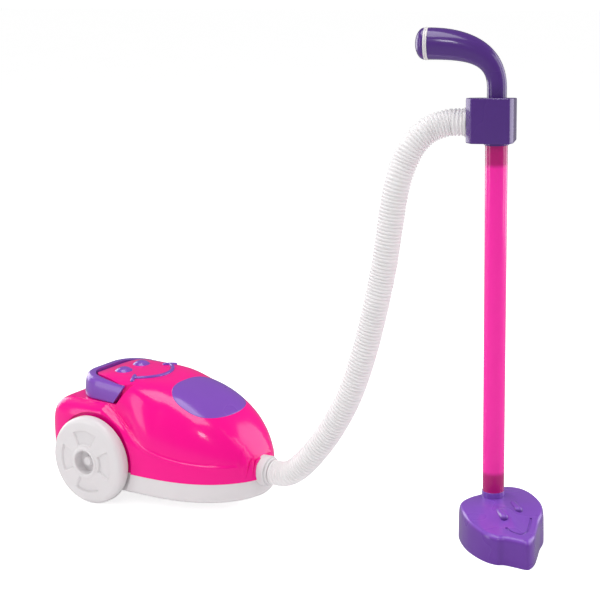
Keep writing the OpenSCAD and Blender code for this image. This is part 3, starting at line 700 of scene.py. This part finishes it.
# Tray under the seam, with the recess that the caster's fork turns in
TRAY_STEPS = 60
TRAY_END = 0.1
TRAY_TAPER = 100
TRAY_LEAST = 0.6
CASTER_X = 130
CASTER_ROOM_R = 12.86
CASTER_ROOM_H = 3.5
tray_long = SKIRT_FRONT + REAR - 2 * TRAY_END
tray_x = [-REAR + TRAY_END + tray_long * (1 - math.cos(math.pi * i / TRAY_STEPS)) / 2
          for i in range(TRAY_STEPS + 1)]


def tray_ring(d, z):
    """The tray's plan at the inset d."""
    edge = [(WIDEST_X + (x - WIDEST_X) * (1 - d / TRAY_TAPER), max(TRAY_LEAST, skirt_half(x) - d))
            for x in tray_x]
    return [(x, -y, z) for x, y in edge] + [(x, y, z) for x, y in reversed(edge)]


# Inset and height of the tray's outline, from its underside up to the seam
tray_levels = rounded([(10, TRAY_Z), (6, TRAY_Z), (0.8, TRAY_Z + 4), (0, TRAY_Z + 8), (0, SEAM_Z)], 4)
tray = stack("tray", [tray_ring(d, z) for d, z in tray_levels], CANISTER)
cut(tray, wells_and_port() + [rod("caster_hole", CASTER_ROOM_R, TRAY_Z - 1, TRAY_Z + CASTER_ROOM_H,
                                  CANISTER @ move(CASTER_X, 0, 0))])
part(tray, "canister", "base_tray", milk)

# Port and cuffs
PORT_BACK = 160
PORT_FLANGE_R = 21
PORT_FLANGE_BACK = 170
PORT_FLANGE_FRONT = 173
CUFF_R = 12.9
CUFF_PLUG = 16
CUFF_FLANGE_R = 14.75
PORT = rounded([(CUFF_R, PORT_BACK), (PORT_R, PORT_BACK), (PORT_R, PORT_FLANGE_BACK),
                (PORT_FLANGE_R, PORT_FLANGE_BACK), (PORT_FLANGE_R, PORT_FLANGE_FRONT),
                (PORT_R, PORT_FLANGE_FRONT), (PORT_R, PORT_FRONT), (CUFF_R, PORT_FRONT)],
               [0, 0, 0, 0.5, 0.5, 0, 1.2, 0.6], closed=True)
port = lathe("port", PORT, port_place, wrap=True)
part(port, "canister", "hose_port", milk)
CUFF = rounded([(HOSE_BORE_R, -CUFF_PLUG), (CUFF_R, -CUFF_PLUG), (CUFF_R, 0), (CUFF_FLANGE_R, 0),
                (CUFF_FLANGE_R, CUFF_FLANGE_T), (HOSE_BORE_R, CUFF_FLANGE_T)],
               [0, 0.5, 0, 0.4, 0.9, 0], closed=True)
cuff = lathe("cuff_lower", CUFF, CANISTER @ move(PORT_FRONT, 0, PORT_Z) @ turn(90, "Y"), wrap=True)
part(cuff, "canister", "hose_cuff_lower", milk)
cuff = lathe("cuff_upper", CUFF, WAND @ move(BLOCK_SIDE, 0, HOSE_Z) @ turn(90, "Y"), wrap=True)
part(cuff, "wand", "hose_cuff_upper", milk)

# Oval window on the nose, lying on the dome
WINDOW_X = 110.4
WINDOW_A = 34.7
WINDOW_B = 44.7
WINDOW_E = 2.4
WINDOW_PROUD = 0.3
WINDOW_DEEP = 1.4
WINDOW_SIDES = 128


def squared(v):
    return math.copysign(abs(v) ** (2 / WINDOW_E), v)


def window_ring(s, lift):
    ring = []
    for j in range(WINDOW_SIDES):
        a = 2 * math.pi * j / WINDOW_SIDES
        x = WINDOW_X + WINDOW_A * s * squared(math.cos(a))
        y = WINDOW_B * s * squared(math.sin(a))
        ring.append((x, y, dome_z(x, y) + lift))
    return ring


# From the middle out, over a rounded rim and down to the underside
window_rings = [window_ring(s, WINDOW_PROUD) for s in spread(0.001, 0.98, 30)]
window_rings += [window_ring(0.993, 0.22), window_ring(1, 0)]
window_rings += [window_ring(1, -WINDOW_DEEP), window_ring(0.5, -WINDOW_DEEP)]
window = stack("window", window_rings, CANISTER)
part(window, "canister", "nose_window", purple)

# Face: two domed eyes and the raised smile with its end bars
EYE_X = 2
EYE_Y = 15.7
EYE_R = 10.4
EYE_RISE = 4.6
EYE_DOME = (EYE_R ** 2 + EYE_RISE ** 2) / (2 * EYE_RISE)
EYE_TOP = PANEL_Z + 4
EYE_FOOT = PANEL_Z - 1.6
for side, node in ((-1, "eye_right"), (1, "eye_left")):
    eye_profile = [(EYE_R, EYE_FOOT)]
    for r in spread(EYE_R, TIP_R, 24):
        eye_profile.append((r, EYE_TOP - EYE_DOME + math.sqrt(EYE_DOME ** 2 - r * r)))
    eye = lathe("face_" + node, eye_profile, CANISTER @ move(EYE_X, side * EYE_Y, 0))
    part(eye, "canister", node, purple)

SMILE_X = 12.8
SMILE_R = 37.2
SMILE_HALF = math.radians(62.5)
SMILE_BAR = 7
BEAD_R = 2.25
BEAD_TALL = BEAD_R * 0.85
BEAD_LIFT = 0.2
BEAD_SINK = 3


def bead(name, line):
    """A half-round bead on the dome, along a line in plan."""
    rings = []
    count = len(line)
    for i, p in enumerate(line):
        way = (line[min(count - 1, i + 1)] - line[max(0, i - 1)]).normalized()
        away = Vector((-way.y, way.x))
        z = dome_z(p.x, p.y) + BEAD_LIFT
        ring = [(p.x + away.x * BEAD_R * math.cos(a), p.y + away.y * BEAD_R * math.cos(a),
                 z + BEAD_TALL * math.sin(a)) for a in spread(0, math.pi, 14)]
        ring += [(p.x - away.x * BEAD_R, p.y - away.y * BEAD_R, z - BEAD_SINK),
                 (p.x + away.x * BEAD_R, p.y + away.y * BEAD_R, z - BEAD_SINK)]
        rings.append(ring)
    return stack(name, rings, CANISTER)


mouth = bead("mouth", [Vector((SMILE_X + SMILE_R * math.cos(a), SMILE_R * math.sin(a)))
                       for a in spread(-SMILE_HALF, SMILE_HALF, 60)])
bead_end = [(BEAD_R, -BEAD_SINK)]
bead_end += [(BEAD_R * math.cos(a), BEAD_TALL * math.sin(a)) for a in spread(0, NEAR_QUARTER, 8)]
bars = []
for side in (-1, 1):
    way = Vector((math.cos(SMILE_HALF), side * math.sin(SMILE_HALF)))
    bars.append(bead("bar", [Vector((SMILE_X, 0)) + way * r
                             for r in spread(SMILE_R - SMILE_BAR, SMILE_R + SMILE_BAR, 4)]))
    for e in (-SMILE_BAR, SMILE_BAR):
        end = Vector((SMILE_X, 0)) + way * (SMILE_R + e)
        end_z = dome_z(end.x, end.y) + BEAD_LIFT
        bars.append(lathe("bar_end", bead_end, CANISTER @ move(end.x, end.y, end_z), sides=24))
cut(mouth, bars, "UNION")
part(mouth, "canister", "smile", purple)

# Carry handle: a U-shaped band around the face panel's block, whose top slopes with the panel
BAND_Z = 112
BAND_UNDER_PANEL = 1.9
BAND_TILT = 0.062
BAND_TILT_FROM = -42
BAND_END_OUT = 2.5
BAND_FINE = 5
CORNER_STEP = 5
SWING_GAP = 1.6


def band_ring(front, rear_x, half, corner, f):
    """The band's outline at the part f of its height, with rounded rear corners."""
    flat = [(front, -half - BAND_END_OUT), (front, half + BAND_END_OUT)]
    for a in range(90, 181, CORNER_STEP):
        flat.append((rear_x + corner + corner * math.cos(math.radians(a)),
                     half - corner + corner * math.sin(math.radians(a))))
    for a in range(180, 271, CORNER_STEP):
        flat.append((rear_x + corner + corner * math.cos(math.radians(a)),
                     -half + corner + corner * math.sin(math.radians(a))))
    ring = []
    for x, y in flat:
        top = PANEL_Z - BAND_UNDER_PANEL - BAND_TILT * (x - BAND_TILT_FROM)
        ring.append((x, y, BAND_Z + f * (top - BAND_Z)))
    return ring


# Front, rear, half width, corner radius and part of the height.
# The front clears the shell when the band is up
band_levels = [Vector(p) for p in (
    (BAND_FOOT, HEAD_REAR + 1, HEAD_HALF - 5, 36, 0), (17.4, HEAD_REAR, HEAD_HALF - 4, 37, 0.07),
    (24.2, HEAD_REAR + 0.8, HEAD_HALF - 4.4, 37, 0.5), (28.5, HEAD_REAR + 2.2, HEAD_HALF - 5.4, 36, 0.8),
    (29.9, HEAD_REAR + 4, HEAD_HALF - 6.8, 35, 0.94), (29.6, HEAD_REAR + 6.4, HEAD_HALF - 8.8, 33, 1))]
band = stack("band", [band_ring(*p) for p in spline(band_levels, BAND_FINE)], CANISTER)
cut(band, [plug("plug", SWING_GAP)])
part(band, "handle_band", "carry_handle", purple)

# Rear wheels: a domed face with four shallow windows round the hub ring
RIM_IN = 72.5
RIM_OUT = 86
TREAD_OUT = 78
TREAD_WALL = 4
FACE_R = 43
FACE_RISE = 2.2
HUB_R = 18.5
HUB_OUT = 90
HUB_FLOOR = 78.5
WHEEL_R = 50
WHEEL_SIDES = 240
WHEEL_SHARP = 30
AXLE_BORE_R = 2.55
BOSS_R = 11
BACK_DEEP = 3
# Half of a window's angle, its depth, and where its sloping edges lie
PANE_HALF = math.radians(28)
PANE_DEEP = 2.4
PANE_EDGE = 1.6
PANE_INNER = (19.4, 20.8)
PANE_OUTER = (36, 34.4)


def wheel_face(r, turn_deg):
    """Height of the wheel's outer face."""
    plain = RIM_OUT + FACE_RISE * (FACE_R - r) / (FACE_R - HUB_R)
    from_middle = abs((turn_deg + 45) % 90 - 45)
    across = ease(from_middle * math.radians(1) * r, PANE_HALF * r, PANE_HALF * r - PANE_EDGE)
    along = ease(r, *PANE_INNER) * ease(r, *PANE_OUTER)
    return plain - PANE_DEEP * across * along


def wheel(name, side):
    radii = spread(HUB_R, FACE_R, 60)
    tread_in = WHEEL_R - TREAD_WALL
    back = [(AXLE_BORE_R, RIM_IN), (BOSS_R, RIM_IN), (BOSS_R, RIM_IN + BACK_DEEP),
            (tread_in, RIM_IN + BACK_DEEP), (tread_in, RIM_IN)]
    back += rounded([(tread_in, RIM_IN), (WHEEL_R, RIM_IN), (WHEEL_R, TREAD_OUT)], 1)[1:-1]
    for a in spread(0, math.pi / 2, 16):
        back.append((FACE_R + (WHEEL_R - FACE_R) * math.cos(a),
                     TREAD_OUT + (RIM_OUT - TREAD_OUT) * math.sin(a)))
    hub = rounded([(HUB_R, RIM_OUT + FACE_RISE), (HUB_R - 1.5, HUB_OUT - 1), (HUB_R - 2.3, HUB_OUT),
                   (HUB_R - 4.3, HUB_OUT), (HUB_R - 5.1, HUB_OUT - 1), (HUB_R - 5.5, HUB_FLOOR),
                   (AXLE_BORE_R, HUB_FLOOR)], 0.5)
    rings = []
    for j in range(WHEEL_SIDES):
        degrees = 360 * j / WHEEL_SIDES
        a = math.radians(degrees)
        column = back + [(r, wheel_face(r, degrees)) for r in reversed(radii[:-1])] + hub[1:]
        rings.append([(r * math.cos(a), r * math.sin(a), h) for r, h in column])
    return stack(name, rings, side_place(side), wrap=True, sharp=WHEEL_SHARP)


part(wheel("wheel_right", -1), "right_wheel", "rear_wheel_right", milk)
part(wheel("wheel_left", 1), "left_wheel", "rear_wheel_left", milk)

# Wand: block, grip, ring, end cap, collar, tube and neck
BLOCK_Z = 411
BLOCK_TOP = 456
BLOCK_FALL = 3.6
BLOCK_HALF = 22.5
BLOCK_FLAT_HALF = 14
BLOCK_MID_X = 6
BLOCK_FOOT_H = 20
BLOCK_SHARP = 50
HOSE_HOLE_OUT = 40
SPIGOT_R = 9
SPIGOT_TOP = 429
RUN_GAP = 0.05
SEAT_GAP = 0.3
BLOCK_PLAN = [(-18.4, -14), (-15.2, -22.5), (22.8, -22.5), (29, -14), (29, 14), (22.8, 22.5), (-15.2, 22.5),
              (-18.4, 14)]


def block_ring(d, z):
    """The block's plan at the inset d. The top falls away from the front, the foot is level."""
    ring = []
    for x, y in rounded(BLOCK_PLAN, 1.4, 4, closed=True):
        fall = BLOCK_FALL * (BLOCK_HALF - y) / (2 * BLOCK_HALF) if z > BLOCK_Z + BLOCK_FOOT_H else 0
        ring.append((x - math.copysign(d, x - BLOCK_MID_X),
                     y - math.copysign(d, y) * min(1, abs(y) / BLOCK_FLAT_HALF), z - fall))
    return ring


block_levels = rounded([(1.6, BLOCK_Z), (0, BLOCK_Z), (0, BLOCK_TOP), (1.8, BLOCK_TOP)], [0, 1.2, 1.8, 0], 5)
block = stack("block", [block_ring(d, z) for d, z in block_levels], WAND, sharp=BLOCK_SHARP)
hose_way_in = WAND @ move(0, 0, HOSE_Z) @ turn(90, "Y")
block_holes = [rod("hose_hole", CUFF_R, BLOCK_SIDE - CUFF_PLUG, HOSE_HOLE_OUT, hose_way_in),
               rod("spigot_hole", SPIGOT_R + RUN_GAP, BLOCK_Z - 1, SPIGOT_TOP + SEAT_GAP, WAND)]
cut(block, block_holes, sharp=BLOCK_SHARP)
part(block, "wand", "handle_block", dark_purple)

GRIP_AXIS_Z = 507.7
GRIP_END_X = 68
GRIP_FOOT_TOP = 462
GRIP_FOOT_R = 9.8
GRIP_END_R = 15.8
GRIP_WIDENS = (0.1, 1)
GRIP_SIDES = 64
GRIP_BEND = [Vector(p) for p in ((0, 464), (0, 495), (24, GRIP_AXIS_Z), (GRIP_END_X, GRIP_AXIS_Z))]


def bezier(p, t):
    return (1 - t) ** 3 * p[0] + 3 * t * (1 - t) ** 2 * p[1] + 3 * t * t * (1 - t) * p[2] + t ** 3 * p[3]


def bezier_way(p, t):
    way = (1 - t) ** 2 * (p[1] - p[0]) + 2 * t * (1 - t) * (p[2] - p[1]) + t * t * (p[3] - p[2])
    return way.normalized()


def grip_ring_at(p, way, r):
    return [(p[0] + r * math.cos(a) * way[1], r * math.sin(a), p[1] - r * math.cos(a) * way[0])
            for a in spread(0, 2 * math.pi, GRIP_SIDES)[:-1]]


grip_rings = [grip_ring_at((0, z), (0, 1), GRIP_FOOT_R)
              for z in spread(BLOCK_TOP - BLOCK_FALL, GRIP_FOOT_TOP, 4)]
for t in spread(0, 1, 60):
    radius = GRIP_FOOT_R + (GRIP_END_R - GRIP_FOOT_R) * ease(t, *GRIP_WIDENS)
    grip_rings.append(grip_ring_at(bezier(GRIP_BEND, t), bezier_way(GRIP_BEND, t), radius))
grip = stack("grip_bend", grip_rings, WAND)
part(grip, "wand", "grip", dark_purple)

RING_R = 16.2
RING_GROOVE_R = 15.6
RING_BORE_R = 5
RING_W = 4
CAP_PLUG = 7.5
CAP_RISE = 9.4
grip_end = WAND @ move(GRIP_END_X, 0, GRIP_AXIS_Z) @ turn(90, "Y")
RING = rounded([(RING_BORE_R, 0), (RING_R, 0), (RING_R, 1.6), (RING_GROOVE_R, 1.8), (RING_GROOVE_R, 2.2),
                (RING_R, 2.4), (RING_R, RING_W), (RING_BORE_R, RING_W)],
               [0, 0.6, 0, 0, 0, 0, 0.6, 0], closed=True)
ring = lathe("ring", RING, grip_end, wrap=True)
part(ring, "wand", "grip_ring", milk)
cap_profile = [(RING_BORE_R, -CAP_PLUG), (RING_BORE_R, RING_W)]
for a in spread(0, NEAR_QUARTER, 24):
    cap_profile.append((GRIP_END_R * math.cos(a), RING_W + CAP_RISE * math.sin(a)))
part(lathe("end_cap", cap_profile, grip_end), "wand", "grip_end_cap", dark_purple)

COLLAR_Z = 407.7
COLLAR_T = 3
COLLAR_R = 12.45
COLLAR_BORE_R = 6.6
TUBE_R = 11.25
TUBE_BORE_R = 9.75
TUBE_PLUG = 20
NECK_Z = 44
NECK_FOOT = 29
NECK_R = 11.85
NECK_BORE_R = 8
COLLAR = rounded([(COLLAR_BORE_R, COLLAR_Z - TUBE_PLUG), (TUBE_BORE_R, COLLAR_Z - TUBE_PLUG),
                  (TUBE_BORE_R, COLLAR_Z), (COLLAR_R, COLLAR_Z), (COLLAR_R, COLLAR_Z + COLLAR_T),
                  (SPIGOT_R, COLLAR_Z + COLLAR_T), (SPIGOT_R, SPIGOT_TOP), (COLLAR_BORE_R, SPIGOT_TOP)],
                 [0, 0, 0, 0.5, 0.5, 0, 0, 0], closed=True)
collar = lathe("collar", COLLAR, WAND, wrap=True)
part(collar, "lower_wand", "tube_collar", dark_purple)
TUBE = [(TUBE_BORE_R, NECK_Z), (TUBE_R, NECK_Z), (TUBE_R, COLLAR_Z), (TUBE_BORE_R, COLLAR_Z)]
tube = lathe("tube", TUBE, WAND, wrap=True)
part(tube, "lower_wand", "wand_tube", tube_pink)
NECK = rounded([(NECK_BORE_R, NECK_FOOT), (NECK_R, NECK_FOOT), (NECK_R, NECK_Z), (TUBE_BORE_R, NECK_Z),
                (TUBE_BORE_R, NECK_Z + TUBE_PLUG), (NECK_BORE_R, NECK_Z + TUBE_PLUG)],
               [0, 0, 0.7, 0, 0, 0], closed=True)
neck = lathe("neck", NECK, WAND, wrap=True)
part(neck, "lower_wand", "nozzle_neck", purple)

# Nozzle: a smooth heart-like plan with a softly rounded top, two bead eyes and a grooved smile
NOZZLE_H = 36
NOZZLE_RIM_FALL = 6
NOZZLE_RIM_RUN = (20, 100)
NOZZLE_MID = Vector((28, 0))
NOZZLE_PLAN = [Vector(p) for p in (
    (111, 0), (108.5, 6), (99, 13), (84, 20.5), (66, 29), (46, 40), (22, 46), (-6, 45), (-24, 38), (-32, 25),
    (-28, 8), (-16, -9), (-9, -24), (4, -38), (25, -43), (50, -43), (70, -38.5), (84, -32.5), (92.5, -25),
    (95, -17.5), (103, -8.5))]
nozzle_line = spline(NOZZLE_PLAN, 10, closed=True)


def nozzle_flat(s, z):
    """The nozzle's plan, scaled by s, at one height."""
    return [(q.x, q.y, z) for q in (NOZZLE_MID + s * (p - NOZZLE_MID) for p in nozzle_line)]


def nozzle_ring(s, f, lift, level):
    """The plan, scaled by s, at the part f of the height; held inside the plan and above the floor.

    level is 0 where the ring follows the falling rim and 1 where it is flat.
    """
    ring = []
    for p in nozzle_line:
        q = NOZZLE_MID + min(1, s) * (p - NOZZLE_MID)
        rim = f * (NOZZLE_H - NOZZLE_RIM_FALL * ease(p.x, *NOZZLE_RIM_RUN)) + lift
        ring.append((q.x, q.y, max(0, rim + (f * NOZZLE_H + lift - rim) * level)))
    return ring


nozzle_levels = [Vector(p) for p in (
    (0.5, 0, 0, 1), (0.985, 0, 0, 1), (1, 0.056, 0, 1), (0.998, 0.4, 0, 0), (0.995, 0.7, 0, 0),
    (0.98, 0.88, 0, 0), (0.94, 0.97, 0, 0), (0.87, 1, 0, 0), (0.6, 1, 1.4, 0), (0.25, 1, 1.8, 1),
    (0.05, 1, 1.8, 1))]
nozzle = stack("nozzle_body", [nozzle_ring(*p) for p in spline(nozzle_levels, 6)], NOZZLE)

NOZZLE_SMILE = [Vector(p) for p in (
    (73, -9), (80, -8), (86, -5.5), (91, -1.5), (91.5, 3), (87.5, 7.5), (80, 12), (70, 17), (58, 22))]
NOZZLE_EYES = [(49, -6), (34, 14)]
NOZZLE_EYE_R = 4
NOZZLE_EYE_LONG = 17
NOZZLE_EYE_SINK = 1.6
SMILE_GROOVE = 1.3
ABOVE_NOZZLE = 80
nozzle_tree = BVHTree.FromObject(nozzle, bpy.context.evaluated_depsgraph_get())


def nozzle_top(u, v):
    """Height of the nozzle's top over a point of its plan."""
    above = NOZZLE @ Vector((u, v, ABOVE_NOZZLE)) * MM
    return nozzle_tree.ray_cast(above, Vector((0, 0, -1)))[0].z / MM


def groove(name, line):
    """A round cutter along the line."""
    rings = []
    for i, p in enumerate(line):
        way = line[min(len(line) - 1, i + 1)] - line[max(0, i - 1)]
        away = Vector((-way.y, way.x, 0)).normalized()
        rings.append([p + SMILE_GROOVE * (math.cos(a) * away + math.sin(a) * Vector((0, 0, 1)))
                      for a in spread(0, 2 * math.pi, 16)[:-1]])
    return stack(name, rings, NOZZLE)


def nozzle_eye(u, v):
    """A bead with round ends, lying along the nozzle."""
    arc = [(NOZZLE_EYE_R * math.cos(a), NOZZLE_EYE_LONG / 2 + NOZZLE_EYE_R * math.sin(a))
           for a in spread(0, NEAR_QUARTER, 12)]
    profile = [(r, -h) for r, h in reversed(arc)] + arc
    place = NOZZLE @ move(u, v, nozzle_top(u, v) - NOZZLE_EYE_SINK) @ turn(90, "Y")
    return lathe("nozzle_eye", profile, place, sides=48)


smile_line = [Vector((q.x, q.y, nozzle_top(q.x, q.y))) for q in spline(NOZZLE_SMILE, 5)]
cut(nozzle, [nozzle_eye(u, v) for u, v in NOZZLE_EYES], "UNION")

# The hollow under the nozzle, with the neck's socket and the air hole above it
HOLLOW_WIDE = 0.93
HOLLOW_NARROW = 0.8
HOLLOW_WALL_H = 20
HOLLOW_H = 26
SOCKET_TOP = 60
hollow = stack("hollow", [nozzle_flat(HOLLOW_WIDE, -1), nozzle_flat(HOLLOW_WIDE, HOLLOW_WALL_H),
                          nozzle_flat(HOLLOW_NARROW, HOLLOW_H)], NOZZLE)
cut(nozzle, [hollow, groove("smile_groove", smile_line), rod("socket", NECK_R, NECK_FOOT, SOCKET_TOP, NOZZLE),
             rod("air_hole", NECK_BORE_R, HOLLOW_WALL_H, SOCKET_TOP, NOZZLE)])
part(nozzle, "lower_wand", "nozzle", nozzle_purple_painted_shade)

# The pieces that stay as the CAD made them get their materials
STEEL_NODES = ("handle_pin_right", "handle_pin_left", "rear_axle", "base_screws", "caster_pin", "caster_clip")
MILK_NODES = ("axle_cap_right", "axle_cap_left", "caster_fork", "caster_wheel")
for names, material in ((STEEL_NODES, steel), (MILK_NODES, milk)):
    for node in names:
        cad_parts[node].data.materials.clear()
        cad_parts[node].data.materials.append(material)

# Stage: a pale floor, a white surround for the camera and large soft lights
FLOOR = 12
FLOOR_NOISE = (3, 3)
FLOOR_DARK = (0.9, 0.9, 0.9, 1)
FLOOR_LIGHT = (0.94, 0.94, 0.94, 1)
FLOOR_MIRRORED = (0.2, 0.2, 0.2, 1)
FLOOR_ROUGH = 0.9
FLOOR_SHINE = 0.1
FLOOR_GLOW = 0.15
FLOOR_GLOW_SEEN = 0.62
floor_mesh = bpy.data.meshes.new("floor")
floor_mesh.from_pydata([(-FLOOR, -FLOOR, 0), (FLOOR, -FLOOR, 0), (FLOOR, FLOOR, 0), (-FLOOR, FLOOR, 0)], [],
                       [(0, 1, 2, 3)])
floor = bpy.data.objects.new("floor", floor_mesh)
scene.collection.objects.link(floor)
floor_look = Look("floor")
floor_path = floor_look.add("ShaderNodeLightPath")
floor_base = floor_look.blend(floor_look.noise(*FLOOR_NOISE), FLOOR_DARK, FLOOR_LIGHT)
floor_base = floor_look.blend(floor_path.outputs["Is Glossy Ray"], floor_base, FLOOR_MIRRORED)
floor_look.join(floor_base, floor_look.shader.inputs["Base Color"])
floor_look.shader.inputs["Roughness"].default_value = FLOOR_ROUGH
floor_look.shader.inputs["Specular IOR Level"].default_value = FLOOR_SHINE
floor_look.shader.inputs["Emission Color"].default_value = (1, 1, 1, 1)
floor_level = floor_look.add("ShaderNodeMapRange")
floor_level.inputs["To Min"].default_value = FLOOR_GLOW
floor_level.inputs["To Max"].default_value = FLOOR_GLOW_SEEN
floor_look.join(floor_path.outputs["Is Camera Ray"], floor_level.inputs["Value"])
floor_look.join(floor_level.outputs["Result"], floor_look.shader.inputs["Emission Strength"])
floor_mesh.materials.append(floor_look.material)

# The surround's strength as a light, in reflections, and as the camera sees it
SURROUND_LIGHT = 0.42
SURROUND_MIRRORED = 0.15
SURROUND_SEEN = 1.1
world = bpy.data.worlds.new("surround")
scene.world = world
world.use_nodes = True
nodes = world.node_tree.nodes
links = world.node_tree.links
back = nodes["Background"]
back.inputs["Color"].default_value = (1, 1, 1, 1)
path = nodes.new("ShaderNodeLightPath")
level = nodes.new("ShaderNodeMapRange")
level.inputs["To Min"].default_value = SURROUND_LIGHT
level.inputs["To Max"].default_value = SURROUND_MIRRORED
links.new(path.outputs["Is Glossy Ray"], level.inputs["Value"])
seen = nodes.new("ShaderNodeMix")
seen.data_type = "FLOAT"
seen.inputs[3].default_value = SURROUND_SEEN
links.new(path.outputs["Is Camera Ray"], seen.inputs[0])
links.new(level.outputs["Result"], seen.inputs[2])
links.new(seen.outputs[0], back.inputs["Strength"])

MIDDLE = Vector((0, 0, 0.2))
toward = Vector((math.sin(YAW), -math.cos(YAW), 0))


def softbox(name, across, near, up, wide, tall, watts):
    """A soft light aimed at the middle, placed to the photo's right, toward the viewer and up."""
    light = bpy.data.lights.new(name, "AREA")
    light.shape = "RECTANGLE"
    light.size = wide
    light.size_y = tall
    light.energy = watts
    obj = bpy.data.objects.new(name, light)
    obj.location = MIDDLE + across * right + near * toward + Vector((0, 0, up))
    obj.rotation_euler = (MIDDLE - obj.location).to_track_quat("-Z", "Y").to_euler()
    scene.collection.objects.link(obj)


softbox("left_box", -1.5, 0.3, 0.5, 0.5, 1.4, 5)
softbox("right_box", 1.5, 0.3, 0.5, 0.5, 1.4, 5)
softbox("back_left_box", -1.3, -1.35, 0.25, 1.1, 1.6, 15)
softbox("back_right_box", 1.5, -0.6, 0.3, 0.9, 1.6, 9)
softbox("top_box", -0.2, 0.1, 1.5, 1.4, 0.8, 14)
softbox("front_box", -0.3, 2.0, 1.4, 0.4, 0.4, 6)

scene.view_settings.view_transform = "Standard"
